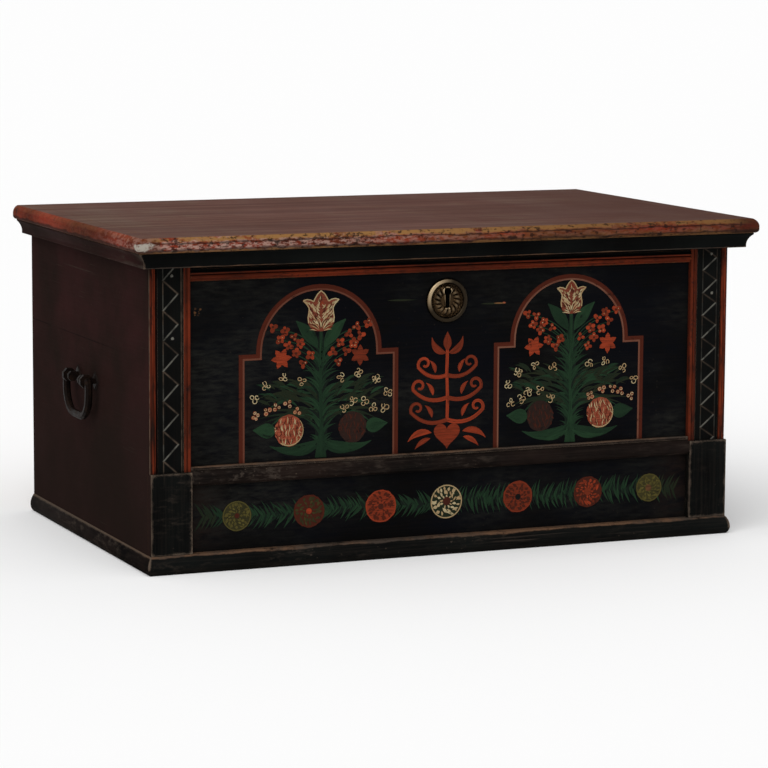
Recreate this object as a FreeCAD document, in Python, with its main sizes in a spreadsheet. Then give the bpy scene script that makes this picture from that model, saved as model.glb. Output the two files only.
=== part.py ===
import FreeCAD, Part
import math
import os
import Sketcher

# Painted trunk: a joiner-made dowry chest of dovetailed boards, with a hinged lid, a box lock,
# applied mouldings on the front and a bail handle on each side.
# Millimetres. X runs to the right of the front, Y to the back and Z up.
# The origin lies on the floor, under the middle of the carcass.

# Driving dimensions: alias, value, meaning.
SIZES = [
    ("carcass_width", 1120, "over the side boards"),
    ("carcass_depth", 675, "front board face to back board face"),
    ("rim_height", 560, "floor to the top edge of the carcass"),
    ("board_thick", 26, "front, back and side boards"),
    ("bottom_thick", 24, "bottom boards"),
    ("bottom_front_wide", 230, "front bottom board"),
    ("bottom_rear_wide", 215, "rear bottom board"),
    ("side_joint", 371, "height of the joint between the side boards"),
    ("back_joint", 300, "height of the joint between the back boards"),
    ("tail_lap", 8, "side wood left over the dovetails"),
    ("tail_flare", 6, "spread of a tail on each of its edges"),
    ("pin_wide", 34, "dovetail pin at its wide end"),
    ("tails_front_upper", 4, "dovetails on the upper front board"),
    ("tails_front_lower", 2, "dovetails on the lower front board"),
    ("tails_back", 3, "dovetails on each back board"),
    ("block_thick", 16, "plinth block"),
    ("block_top", 176, "top of the plinth block"),
    ("pilaster_width", 63, "pilaster over its bead and field"),
    ("pilaster_field", 9, "thickness of the flat field"),
    ("bead_wide", 13, "round bead on the outer edge"),
    ("bead_root", 5, "thickness under the bead"),
    ("bead_quirk", 2, "groove beside the bead"),
    ("frame_width", 13, "upright strip beside the panel"),
    ("frame_root", 7, "thickness under its reeds"),
    ("strip_below", 32, "rim to the reeded top strip"),
    ("strip_wide", 22, "reeded top strip"),
    ("strip_edge", 4, "flat edge of the top strip"),
    ("strip_root", 6, "thickness of its flat edges"),
    ("rail_low", 150, "lower edge of the middle rail"),
    ("rail_radius", 14, "half round of the middle rail"),
    ("rail_root", 3, "thickness behind the half round"),
    ("rail_cap_high", 6, "square cap over the half round"),
    ("rail_cap_out", 8, "thickness of that cap"),
    ("base_high", 33, "base moulding"),
    ("base_out", 7.5, "base moulding beyond the plinth block and the sides"),
    ("base_belly", 13, "height of its fullest line"),
    ("base_toe", 5.5, "how far its foot curves back"),
    ("lid_gap", 0.4, "between the rim and the closed lid"),
    ("lid_thick", 26, "lid boards"),
    ("lid_side_out", 36, "lid beyond the side boards"),
    ("lid_front_out", 60, "lid beyond the front board"),
    ("lid_front_wide", 250, "front lid board"),
    ("lid_rear_wide", 240, "rear lid board"),
    ("cleat_wide", 40, "cross cleat at the lid's ends"),
    ("tongue_long", 12, "tongue on the board ends"),
    ("tongue_thick", 8, "thickness of that tongue"),
    ("tongue_play", 0.5, "room past the tongue's tip"),
    ("nose_run", 9, "lid edge moulding, across"),
    ("nose_rise", 14, "lid edge moulding, down"),
    ("nose_toe", 7, "rounding of its lower edge"),
    ("skirt_drop", 27, "height of the moulding under the lid"),
    ("skirt_inset", 7, "behind the lid's edge"),
    ("skirt_lip", 3, "square lip over the cove"),
    ("skirt_cove", 10, "cove, across"),
    ("skirt_fall", 20, "cove, down"),
    ("skirt_gap", 2, "between the skirt and the carcass"),
    ("peg_half", 3.5, "half width of the square pegs through the cleats"),
    ("till_wide", 160, "inside of the till"),
    ("till_wall", 16, "till front board"),
    ("till_floor", 12, "till bottom board"),
    ("till_below", 30, "rim to the top edge of the till"),
    ("till_high", 125, "height of the till"),
    ("housing_deep", 5, "grooves that hold the till boards"),
    ("keyhole_below", 90, "rim to the centre of the keyhole's round end"),
    ("keyhole_radius", 7, "its round end"),
    ("keyhole_slot", 8, "its slot"),
    ("keyhole_drop", 29, "slot below the round end's centre"),
    ("plate_below", 106, "rim to the centre of the escutcheon"),
    ("plate_radius", 40, "escutcheon"),
    ("plate_roll", 3.5, "rolled rim of the escutcheon"),
    ("plate_flat", 1.5, "escutcheon sheet"),
    ("boss_radius", 22, "raised middle of the escutcheon"),
    ("boss_high", 6, "height of that middle"),
    ("lock_half", 70, "half width of the lock plate"),
    ("lock_below", 10, "rim to the lock plate"),
    ("lock_high", 125, "height of the lock plate"),
    ("lock_sheet", 3, "lock plate"),
    ("case_half", 59, "half width of the lock case"),
    ("case_inset", 5, "lock plate's upper edge to the case"),
    ("case_high", 113, "height of the lock case"),
    ("case_deep", 22, "depth of the lock case"),
    ("case_wall", 2.5, "sheet of the lock case"),
    ("bolt_thick", 6, "lock bolt"),
    ("bolt_travel", 18, "throw of the bolt"),
    ("bolt_below", 68, "rim to the lower edge of the bolt"),
    ("bolt_bar", 12, "lower bar of the bolt"),
    ("nose_up", 30, "bolt's lower edge to its nose"),
    ("nose_high", 10, "height of the bolt's nose"),
    ("stud_half", 2.5, "half width of the square studs between lock plate and case"),
    ("slide_play", 0.3, "running room of the bolt"),
    ("hasp_half", 34, "half width of the hasp plate"),
    ("hasp_deep", 39, "hasp plate, front to back"),
    ("staple_thick", 6, "hasp staple, along the bolt"),
    ("rivet_half", 2.2, "half width of the staple's square rivet"),
    ("web_room", 1.5, "thrown bolt to the staple"),
    ("staple_room", 2.25, "hasp staple to the lock plate and the case"),
    ("staple_eye", 9, "width of the staple's eye"),
    ("staple_play", 3, "bolt's nose in the staple's eye, below it"),
    ("staple_bar", 6, "bar under the eye"),
    ("eye_high", 16, "height of the staple's eye"),
    ("hinge_apart", 660, "between the two hinges"),
    ("strap_thick", 3, "hinge iron"),
    ("strap_wide", 42, "strap at the hinge"),
    ("strap_neck", 22, "strap at its narrow end"),
    ("strap_long", 400, "strap under the lid"),
    ("spear_wide", 40, "spear end of the strap"),
    ("spear_long", 38, "from its widest place to its tip"),
    ("leaf_drop", 110, "hinge leaf on the back"),
    ("knuckle_radius", 6.5, "hinge knuckle"),
    ("hinge_pin_radius", 3, "hinge pin"),
    ("hinge_pin_play", 0.05, "hinge pin in the knuckle"),
    ("knuckle_play", 0.4, "between the knuckles, and to the back board"),
    ("nail_head", 4.5, "half width of a nail head"),
    ("nail_head_high", 2.4, "nail head height"),
    ("nail_half", 1.7, "half width of the square nail shank"),
    ("nail_long", 18, "nail shank"),
    ("nail_play", 0.1, "round the nail shank"),
    ("handle_height", 300, "pivot of the bail"),
    ("handle_stand", 18, "pivot in front of the side board"),
    ("eye_apart", 100, "between the two eyes"),
    ("eye_radius", 12, "eye, to its flats"),
    ("eye_wide", 9, "eye, along the pivot"),
    ("eye_play", 0.5, "bail in the eye"),
    ("shank_wide", 9, "square shank of the eye"),
    ("shank_play", 0.2, "round the shank"),
    ("clench_long", 26, "shank bent over inside"),
    ("clench_thick", 4, "thickness of the bent end"),
    ("bail_radius", 6.5, "bail iron, to its flats"),
    ("bail_half", 66, "half width of the bail"),
    ("bail_drop", 66, "pivot to the grip"),
    ("bail_bend", 44, "lower corners of the bail"),
    ("bend_steps", 6, "hammered flats in each bend of the bail"),
    ("bail_knob", 9, "upset end of the bail, to its flats"),
    ("rose_half", 13, "half a side of the square rose plate under the eye"),
    ("rose_thick", 2.5, "rose plate"),
]


class Size:
    """A length together with the sheet formula it comes from, so it can be used and bound."""

    def __init__(self, value, formula):
        self.value = float(value)
        self.formula = formula

    def __add__(self, other):
        other = as_size(other)
        return Size(self.value + other.value, "(%s + %s)" % (self.formula, other.formula))

    def __sub__(self, other):
        other = as_size(other)
        return Size(self.value - other.value, "(%s - %s)" % (self.formula, other.formula))

    def __mul__(self, other):
        other = as_size(other)
        return Size(self.value * other.value, "(%s * %s)" % (self.formula, other.formula))

    def __truediv__(self, other):
        other = as_size(other)
        return Size(self.value / other.value, "(%s / %s)" % (self.formula, other.formula))

    def __neg__(self):
        return as_size(0) - self

    def root(self):
        return Size(math.sqrt(self.value), "sqrt(%s)" % self.formula)

    __radd__ = __add__
    __rmul__ = __mul__


def as_size(number):
    return number if isinstance(number, Size) else Size(number, "%.9g" % number)


class Sheet:
    """The driving dimensions as attributes, each bound to its cell."""


doc = FreeCAD.newDocument("PaintedTrunk")
sheet = doc.addObject("Spreadsheet::Sheet", "Sizes")
s = Sheet()
for line, (alias, number, meaning) in enumerate(SIZES, start=1):
    sheet.set("A%d" % line, meaning)
    sheet.set("B%d" % line, str(number))
    sheet.setAlias("B%d" % line, alias)
    setattr(s, alias, Size(number, "Sizes." + alias))
doc.recompute()

LEFT_TURN, RIGHT_TURN = 1, -1
TURN_TO_AXIS = {
    "X": FreeCAD.Rotation(FreeCAD.Vector(0, 1, 0), 90),
    "Y": FreeCAD.Rotation(FreeCAD.Vector(1, 0, 0), -90),
    "Z": FreeCAD.Rotation(),
}
pieces = {}


def bind(item, name, size):
    item.setExpression(name, as_size(size).formula)


def place(item, x, y, z):
    for name, size in (("x", x), ("y", y), ("z", z)):
        bind(item, "Placement.Base." + name, size)


def box(label, low, high):
    """A board between two opposite corners."""
    item = doc.addObject("Part::Box", label)
    item.Label = label
    for name, start, end in zip(("Length", "Width", "Height"), low, high):
        bind(item, name, as_size(end) - start)
    place(item, *low)
    return item


def rod(label, axis, radius, start, length):
    """A round bar that runs along one axis from a start point."""
    item = doc.addObject("Part::Cylinder", label)
    item.Label = label
    bind(item, "Radius", radius)
    bind(item, "Height", length)
    item.Placement.Rotation = TURN_TO_AXIS[axis]
    place(item, *start)
    return item


def eight_sided(label, plane, centre, flat, start, end):
    """An eight-sided bar, drawn out from start to end across one of the main planes."""
    reach = as_size(flat) / math.cos(math.pi / 8)
    turns = [(index + 0.5) * math.pi / 4 for index in range(8)]
    outline = [(centre[0] + reach * math.cos(turn), centre[1] + reach * math.sin(turn)) for turn in turns]
    return prism(label, plane, outline, start, end)


def add_segment(sketch, corner, following):
    """One line, or an arc about a given centre, and the ends of it that come first and last."""
    here = FreeCAD.Vector(as_size(corner[0]).value, as_size(corner[1]).value, 0)
    there = FreeCAD.Vector(as_size(following[0]).value, as_size(following[1]).value, 0)
    if len(corner) == 2:
        sketch.addGeometry(Part.LineSegment(here, there), False)
        return 1, 2
    centre = FreeCAD.Vector(as_size(corner[2][0]).value, as_size(corner[2][1]).value, 0)
    circle = Part.Circle(centre, FreeCAD.Vector(0, 0, 1), (here - centre).Length)
    turn = corner[3]
    first, last = (here, there) if turn == LEFT_TURN else (there, here)
    angles = [math.atan2(spot.y - centre.y, spot.x - centre.x) for spot in (first, last)]
    if angles[1] <= angles[0]:
        angles[1] += 2 * math.pi
    sketch.addGeometry(Part.ArcOfCircle(circle, *angles), False)
    return (1, 2) if turn == LEFT_TURN else (2, 1)


def hold(sketch, direction, geometry, end, size):
    """Fixes one coordinate of a sketch point by a formula."""
    size = as_size(size)
    rule = Sketcher.Constraint("Distance" + direction, -1, 1, geometry, end, size.value)
    bind(sketch, "Constraints[%d]" % sketch.addConstraint(rule), size)


def draw(body, plane, outline, offset):
    """A closed sketch: corners are (u, v), or (u, v, centre, turn) where an arc starts."""
    sketch = body.newObject("Sketcher::SketchObject", body.Name + "_outline")
    planes = {feature.Role: feature for feature in body.Origin.OriginFeatures}
    sketch.AttachmentSupport = [(planes[plane + "_Plane"], "")]
    sketch.MapMode = "FlatFace"
    bind(sketch, "AttachmentOffset.Base.z", offset)
    after = outline[1:] + outline[:1]
    ends = [add_segment(sketch, here, there) for here, there in zip(outline, after)]
    count = len(outline)
    for index, corner in enumerate(outline):
        following = (index + 1) % count
        joined = Sketcher.Constraint("Coincident", index, ends[index][1], following, ends[following][0])
        sketch.addConstraint(joined)
        hold(sketch, "X", index, ends[index][0], corner[0])
        hold(sketch, "Y", index, ends[index][0], corner[1])
        if len(corner) == 4:
            across = abs(as_size(after[index][0]).value - as_size(corner[0]).value)
            along = abs(as_size(after[index][1]).value - as_size(corner[1]).value)
            if along >= across:
                hold(sketch, "X", index, 3, corner[2][0])
            else:
                hold(sketch, "Y", index, 3, corner[2][1])
    return sketch


def prism(label, plane, outline, start, end):
    """An outline in one of the main planes, drawn out from start to end along the third axis."""
    body = doc.addObject("PartDesign::Body", label)
    body.Label = label
    offset = -as_size(end) if plane == "XZ" else start
    pad = body.newObject("PartDesign::Pad", label + "_pad")
    pad.Profile = draw(body, plane, outline, offset)
    bind(pad, "Length", as_size(end) - start)
    body.Tip = pad
    return body


def cut(label, base, *tools):
    """The base with each tool taken out of it in turn."""
    item = base
    for tool in tools:
        cutting = doc.addObject("Part::Cut", label)
        cutting.Base = item
        cutting.Tool = tool
        item = cutting
    item.Label = label
    return item


def common(label, base, tool):
    item = doc.addObject("Part::Common", label)
    item.Base = base
    item.Tool = tool
    item.Label = label
    return item


def fuse(label, *members):
    item = doc.addObject("Part::MultiFuse", label)
    item.Shapes = list(members)
    item.Refine = True
    item.Label = label
    return item


def group(label, *members):
    item = doc.addObject("Part::Compound", label)
    item.Links = list(members)
    item.Label = label
    return item


def mirror(label, source, normal):
    item = doc.addObject("Part::Mirroring", label)
    item.Source = source
    item.Normal = FreeCAD.Vector(*normal)
    item.Label = label
    return item


def keep(label, item):
    """Makes an object a sub-part of the trunk, under its own name."""
    item.Label = label
    pieces[label] = item
    return item


def keep_pair(name, right):
    """Keeps a right-hand piece and its mirror image on the left."""
    keep(name + "_right", right)
    keep(name + "_left", mirror(name + "_left", right, (1, 0, 0)))


def solid(label, shape):
    """A shape made in code from the sheet's values."""
    item = doc.addObject("Part::Feature", label)
    item.Shape = shape
    item.Label = label
    return item


# Planes that the pieces share.
half_width = s.carcass_width / 2
front_face = -s.carcass_depth / 2
back_face = s.carcass_depth / 2
side_inside = half_width - s.board_thick
front_inside = front_face + s.board_thick
back_inside = back_face - s.board_thick
front_joint = s.rail_low + s.rail_radius
keyhole_z = s.rim_height - s.keyhole_below
lid_under = s.rim_height + s.lid_gap
lid_top = lid_under + s.lid_thick
lid_front = front_face - s.lid_front_out
lid_end = half_width + s.lid_side_out
cleat_inside = lid_end - s.cleat_wide


def tailed_board(label, low, high, tails, start):
    """A front or back board whose ends carry lapped dovetails."""
    tip = half_width - s.tail_lap
    pitch = (high - low) / tails
    neck = (pitch - s.pin_wide) / 2
    right = [(side_inside, low)]
    for index in range(int(tails.value)):
        middle = low + pitch * (index + 0.5)
        right.append((side_inside, middle - neck))
        right.append((tip, middle - neck - s.tail_flare))
        right.append((tip, middle + neck + s.tail_flare))
        right.append((side_inside, middle + neck))
    right.append((side_inside, high))
    left = [(-u, v) for u, v in reversed(right)]
    return prism(label, "XZ", right + left, start, start + s.board_thick)


def nail_shape(long):
    """A forged nail along +Y: a square shank, and a four-sided rose head before the origin."""
    wide, small, half = s.nail_head.value, s.nail_head.value * 0.3, s.nail_half.value
    high = s.nail_head_high.value
    head = Part.makeWedge(-small, -high, -small, -wide, -wide, small, 0, small, wide, wide)
    shank = Part.makeBox(half * 2, long, half * 2, FreeCAD.Vector(-half, 0, -half))
    return head.fuse(shank)


def nail_group(label, points, toward):
    """Nails as one node, with their heads on the given points, and the holes that they need."""
    long = s.nail_long.value
    half = s.nail_half.value + s.nail_play.value
    hole = Part.makeBox(half * 2, long + 2, half * 2, FreeCAD.Vector(-half, -1, -half))
    turn = FreeCAD.Rotation(FreeCAD.Vector(0, 1, 0), toward)
    spots = [FreeCAD.Placement(point, turn).toMatrix() for point in points]
    nails = [nail_shape(long).transformed(spot) for spot in spots]
    holes = [hole.transformed(spot) for spot in spots]
    keep(label, solid(label, Part.makeCompound(nails)))
    return solid(label + "_holes", Part.makeCompound(holes))


def keyhole(label, start, end):
    """The keyhole as a solid: a round end over a slot."""
    half = s.keyhole_slot / 2
    reach = (s.keyhole_radius * s.keyhole_radius - half * half).root()
    middle = keyhole_z
    outline = [
        (-half, middle - s.keyhole_drop),
        (half, middle - s.keyhole_drop),
        (half, middle - reach, (0, middle), LEFT_TURN),
        (-half, middle - reach),
    ]
    return prism(label, "XZ", outline, start, end)


# Hinges: the axis lies behind the back board, just under the lid.
hinge_at = s.hinge_apart / 2
hinge_y = back_face + s.knuckle_play + s.knuckle_radius
hinge_z = lid_under - s.knuckle_radius
strap_half = s.strap_wide / 2
tongue_half = s.strap_wide / 6
strap_low = lid_under - s.strap_thick


def make_hinges():
    """Strap under the lid, leaf on the back, and the pin that joins them."""
    bore = s.hinge_pin_radius + s.hinge_pin_play
    inner, outer = tongue_half - s.knuckle_play / 2, tongue_half + s.knuckle_play / 2
    shoulder = back_face - s.strap_thick
    tip = back_face - s.strap_long
    right_edge = [
        (hinge_at + inner, hinge_y),
        (hinge_at + inner, shoulder),
        (hinge_at + strap_half, shoulder),
        (hinge_at + s.strap_neck / 2, tip + s.spear_long * 1.6),
        (hinge_at + s.spear_wide / 2, tip + s.spear_long),
    ]
    left_edge = [(hinge_at * 2 - u, v) for u, v in reversed(right_edge)]
    plate = prism("strap_plate", "XY", right_edge + [(hinge_at, tip)] + left_edge, strap_low, lid_under)
    eye = rod("strap_eye", "X", s.knuckle_radius, (hinge_at - inner, hinge_y, hinge_z), inner * 2)
    eye_bore = rod("strap_bore", "X", bore, (hinge_at - strap_half, hinge_y, hinge_z), s.strap_wide)
    strap = cut("strap", fuse("strap_blank", plate, eye), eye_bore)

    notch = hinge_z - s.knuckle_radius - s.knuckle_play
    leaf_right = [
        (hinge_at + outer, notch),
        (hinge_at + outer, hinge_z),
        (hinge_at + strap_half, hinge_z),
        (hinge_at + strap_half, hinge_z - s.leaf_drop * 0.45),
        (hinge_at + s.strap_neck / 2, hinge_z - s.leaf_drop * 0.8),
    ]
    leaf_left = [(hinge_at * 2 - u, v) for u, v in reversed(leaf_right)]
    outline = leaf_right + [(hinge_at, hinge_z - s.leaf_drop)] + leaf_left
    leaf_plate = prism("leaf_plate", "XZ", outline, back_face, back_face + s.strap_thick)
    knuckle_long = strap_half - outer
    knuckles = [
        rod("leaf_eye", "X", s.knuckle_radius, (start, hinge_y, hinge_z), knuckle_long)
        for start in (hinge_at + outer, hinge_at - strap_half)
    ]
    leaf_bore = rod("leaf_bore", "X", bore, (hinge_at - strap_half, hinge_y, hinge_z), s.strap_wide)
    leaf = cut("leaf", fuse("leaf_blank", leaf_plate, *knuckles), leaf_bore)

    pin_start = (hinge_at - strap_half, hinge_y, hinge_z)
    head_start = hinge_at + strap_half
    head_end = head_start + s.strap_thick
    shaft = rod("pin_shaft", "X", s.hinge_pin_radius, pin_start, s.strap_wide)
    head = eight_sided("pin_head", "YZ", (hinge_y, hinge_z), s.knuckle_radius - 1, head_start, head_end)
    keep_pair("hinge_pin", fuse("pin", shaft, head))

    along = [back_inside.value - 30, 210, 110, 30, tip.value + s.spear_long.value]
    strap_points = [FreeCAD.Vector(hinge_at.value, y, strap_low.value) for y in along]
    every_point = strap_points + [FreeCAD.Vector(-p.x, p.y, p.z) for p in strap_points]
    up = FreeCAD.Vector(0, 0, 1)
    strap_holes = nail_group("hinge_strap_nails", every_point, up)
    leaf_face = back_face.value + s.strap_thick.value
    spots = [(-12, 22), (12, 22), (-12, 44), (12, 44), (0, 80)]
    leaf_points = [
        FreeCAD.Vector(side * hinge_at.value + across, leaf_face, hinge_z.value - down)
        for side in (-1, 1) for across, down in spots
    ]
    leaf_holes = nail_group("hinge_leaf_nails", leaf_points, FreeCAD.Vector(0, -1, 0))
    keep_pair("hinge_strap", cut("strap_done", strap, strap_holes))
    keep_pair("hinge_leaf", cut("leaf_done", leaf, leaf_holes))
    return strap_holes, leaf_holes


def make_lock():
    """Lock on the inside of the front: plate, case, bolt, spring and studs, and the lid's hasp."""
    lock_top = s.rim_height - s.lock_below
    lock_low = lock_top - s.lock_high
    case_top = lock_top - s.case_inset
    case_low = case_top - s.case_high
    sheet_face = front_inside + s.lock_sheet
    cover_inside = sheet_face + s.case_deep - s.case_wall
    corner_across = s.lock_half.value - 6
    corner_points = [
        FreeCAD.Vector(side * corner_across, sheet_face.value, height)
        for side in (-1, 1) for height in (lock_low.value + 8, lock_top.value - 8)
    ]
    nail_holes = nail_group("lock_nails", corner_points, FreeCAD.Vector(0, -1, 0))
    blank = box("lock_plate_blank", (-s.lock_half, front_inside, lock_low),
                (s.lock_half, sheet_face, lock_top))
    key = keyhole("lock_plate_keyhole", front_inside - 1, sheet_face + 1)
    keep("lock_plate", cut("lock_plate", blank, key, nail_holes))

    outer = box("case_outer", (-s.case_half, sheet_face, case_low),
                (s.case_half, sheet_face + s.case_deep, case_top))
    wall = s.case_wall
    inner = box("case_inner", (-s.case_half + wall, sheet_face, case_low + wall),
                (s.case_half - wall, cover_inside, case_top - wall))
    entry_half = s.staple_thick / 2 + 2.5
    entry = box("case_entry", (-entry_half, sheet_face, case_top - wall * 2),
                (entry_half, cover_inside, case_top + 1))
    rounded = doc.addObject("Part::Fillet", "case_rounded")
    rounded.Base = outer
    doc.recompute()
    rim = [
        (number, 3.0, 3.0) for number, edge in enumerate(outer.Shape.Edges, start=1)
        if edge.BoundBox.YMin > (sheet_face + s.case_deep).value - 0.01
    ]
    rounded.Edges = rim
    keep("lock_case", cut("lock_case", rounded, inner, entry))

    # The staple stands in the middle of the case, and the bolt in the middle of its eye.
    staple_back = cover_inside - s.staple_room
    staple_front = sheet_face + s.staple_room
    middle = (staple_back + staple_front) / 2
    bolt_start = middle - s.bolt_thick / 2
    bolt_end = middle + s.bolt_thick / 2
    rest_nose = -s.staple_thick / 2 - 5
    bolt_left = -s.case_half + wall + 2.5
    bar_end = s.case_half - wall - s.bolt_travel - 2
    web_right = -s.staple_thick / 2 - s.bolt_travel - s.web_room
    bolt_low = s.rim_height - s.bolt_below
    bar_top = bolt_low + s.bolt_bar
    nose_low = bolt_low + s.nose_up
    nose_top = nose_low + s.nose_high
    eye_low = nose_low - s.staple_play
    staple_low = eye_low - s.staple_bar
    talon = s.keyhole_radius + 2
    outline = [
        (bolt_left, bolt_low),
        (-talon, bolt_low),
        (-talon, bolt_low + 5),
        (talon, bolt_low + 5),
        (talon, bolt_low),
        (bar_end, bolt_low),
        (bar_end, bar_top),
        (web_right, bar_top),
        (web_right, nose_low),
        (rest_nose, nose_low),
        (rest_nose, nose_top),
        (bolt_left, nose_top),
    ]
    bolt = prism("bolt_blank", "XZ", outline, bolt_start, bolt_end)
    # A stud guides the bolt in a slot; two more carry its lower edge.
    stud_z = (bar_top + nose_low) / 2
    stud_x = (bolt_left + web_right + s.bolt_travel) / 2
    groove = s.stud_half + s.slide_play
    slot = [
        (stud_x - s.bolt_travel - groove, stud_z - groove),
        (stud_x + groove, stud_z - groove),
        (stud_x + groove, stud_z + groove),
        (stud_x - s.bolt_travel - groove, stud_z + groove),
    ]
    slot_tool = prism("bolt_slot", "XZ", slot, bolt_start - 1, bolt_end + 1)
    keep("lock_bolt", cut("lock_bolt", bolt, slot_tool))
    under = bolt_low - s.slide_play - s.stud_half
    places = [(stud_x, stud_z), (bolt_left + s.bolt_travel + 8, under), (bar_end - 6, under)]
    half = s.stud_half
    studs = [
        box("stud", (x - half, sheet_face, z - half), (x + half, cover_inside, z + half))
        for x, z in places
    ]
    keep("lock_studs", group("lock_studs", *studs))

    # A bowed leaf spring presses on the lower bar.
    leaf = 1.2
    reach = (s.case_half - wall - 3 - 12) / 2
    spring_x = as_size(12) + reach
    sag = 7.5
    bow = (reach * reach + sag * sag) / (sag * 2)
    centre = (spring_x, bar_top + s.slide_play + leaf + bow)
    rise = centre[1] - bow + sag
    spring = [
        (spring_x - reach, rise - leaf),
        (spring_x - reach, rise, centre, LEFT_TURN),
        (spring_x + reach, rise),
        (spring_x + reach, rise - leaf, (centre[0], centre[1] - leaf), RIGHT_TURN),
    ]
    keep("lock_spring", prism("lock_spring", "XZ", spring, sheet_face, bolt_end))

    # Hasp: a plate under the lid, and riveted through it the staple that the bolt enters.
    hasp_low = lid_under - s.lock_sheet
    hasp_start = front_inside + 2.5
    plate = box("hasp_plate", (-s.hasp_half, hasp_start, hasp_low),
                (s.hasp_half, hasp_start + s.hasp_deep, lid_under))
    staple = box("staple_blank", (-s.staple_thick / 2, staple_front, staple_low),
                 (s.staple_thick / 2, staple_back, hasp_low))
    rivet = box("staple_rivet", (-s.rivet_half, middle - s.rivet_half, hasp_low),
                (s.rivet_half, middle + s.rivet_half, lid_under))
    round_end = doc.addObject("Part::Fillet", "staple_rounded")
    round_end.Base = staple
    doc.recompute()
    low_edges = [
        (number, 5.0, 5.0) for number, edge in enumerate(staple.Shape.Edges, start=1)
        if edge.BoundBox.ZMax < staple_low.value + 0.01 and edge.BoundBox.XLength > 1
    ]
    round_end.Edges = low_edges
    eye = box("staple_eye_cut", (-s.staple_thick, middle - s.staple_eye / 2, eye_low),
              (s.staple_thick, middle + s.staple_eye / 2, eye_low + s.eye_high))
    hasp_points = [
        FreeCAD.Vector(side * (s.hasp_half.value - 9), hasp_start.value + across, hasp_low.value)
        for side in (-1, 1) for across in (9, s.hasp_deep.value - 9)
    ]
    hasp_holes = nail_group("hasp_nails", hasp_points, FreeCAD.Vector(0, 0, 1))
    keep("lock_hasp", cut("lock_hasp", plate, rivet, hasp_holes))
    keep("hasp_staple", fuse("hasp_staple", cut("staple_bar", round_end, eye), rivet))
    return nail_holes, hasp_holes


def make_handles():
    """Bail on each side: two eyes through the side board, their rose plates and the bail."""
    pivot_x = half_width + s.handle_stand
    eye_y = s.eye_apart / 2
    half_eye = s.eye_wide / 2
    half_shank = s.shank_wide / 2
    height = s.handle_height
    ring = eight_sided("eye_ring", "XZ", (pivot_x, height), s.eye_radius, eye_y - half_eye, eye_y + half_eye)
    bore_radius = s.bail_radius + s.eye_play
    bore = rod("eye_bore", "Y", bore_radius, (pivot_x, eye_y - s.eye_wide, height), s.eye_wide * 2)
    shank = box("eye_shank", (side_inside - s.clench_thick, eye_y - half_shank, height - half_shank),
                (pivot_x - bore_radius - 1, eye_y + half_shank, height + half_shank))
    clench = box("eye_clench", (side_inside - s.clench_thick, eye_y - half_shank, height),
                 (side_inside, eye_y + half_shank, height + s.clench_long))
    eye = cut("eye", fuse("eye_blank", ring, shank, clench), bore)
    keep_pair("handle_eyes", group("eyes", eye, mirror("eye_front", eye, (0, 1, 0))))

    shank_hole = half_shank + s.shank_play
    hole = box("shank_hole", (side_inside - 1, eye_y - shank_hole, height - shank_hole),
               (half_width + s.handle_stand, eye_y + shank_hole, height + shank_hole))
    plate = doc.addObject("Part::Wedge", "rose_plate")
    for name in ("X", "Z"):
        bind(plate, name + "min", -s.rose_half)
        bind(plate, name + "max", s.rose_half)
        bind(plate, name + "2min", -s.rose_half + s.rose_thick)
        bind(plate, name + "2max", s.rose_half - s.rose_thick)
    plate.Ymin = 0
    bind(plate, "Ymax", s.rose_thick)
    on_point = FreeCAD.Rotation(FreeCAD.Vector(0, 1, 0), 45)
    plate.Placement.Rotation = FreeCAD.Rotation(FreeCAD.Vector(0, 0, 1), -90).multiply(on_point)
    place(plate, half_width, eye_y, height)
    rose = cut("rose", plate, hole)
    keep_pair("handle_roses", group("roses", rose, mirror("rose_front", rose, (0, 1, 0))))
    keep_pair("handle_bail", solid("bail", bail_shape(pivot_x.value, eye_y.value, height.value)))
    return group("shank_holes", hole, mirror("shank_hole_front", hole, (0, 1, 0)))


def bar_section(centre, before, after, flat):
    """Eight corners across a bar in a plane of constant X, on the plane that halves its turn."""
    out = FreeCAD.Vector(1, 0, 0)
    side = before.cross(out).normalize()
    halving = (before + after).normalize()
    reach = flat / math.cos(math.pi / 8)
    corners = []
    for index in range(8):
        turn = (index + 0.5) * math.pi / 4
        arm = out * (reach * math.cos(turn)) + side * (reach * math.sin(turn))
        corners.append(centre + arm - before * (arm.dot(halving) / before.dot(halving)))
    return corners


def forged_bar(line, flat):
    """An eight-sided bar along a line of points, mitred at each of them."""
    runs = [(end - start).normalize() for start, end in zip(line, line[1:])]
    spots = zip(line, runs[:1] + runs, runs + runs[-1:])
    rings = [bar_section(*spot, flat) for spot in spots]
    outlines = [rings[0], rings[-1]]
    for near, far in zip(rings, rings[1:]):
        for index in range(8):
            outlines.append([near[index - 1], near[index], far[index], far[index - 1]])
    faces = [Part.Face(Part.makePolygon(corners + corners[:1])) for corners in outlines]
    return Part.Solid(Part.Shell(faces))


def bent_line(points, bends, steps):
    """The line through the points, with each inner corner turned about its bend in equal steps."""
    line = points[:1]
    for before, corner, after, bend in zip(points, points[1:], points[2:], bends):
        back = (before - corner).normalize()
        ahead = (after - corner).normalize()
        half = back.getAngle(ahead) / 2
        inward = (back + ahead).normalize()
        across = (ahead - back).normalize()
        centre = corner + inward * (bend / math.sin(half))
        spread = math.pi / 2 - half
        for step in range(steps + 1):
            turn = spread * (2 * step / steps - 1)
            line.append(centre - inward * (bend * math.cos(turn)) + across * (bend * math.sin(turn)))
    return line + points[-1:]


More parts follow.
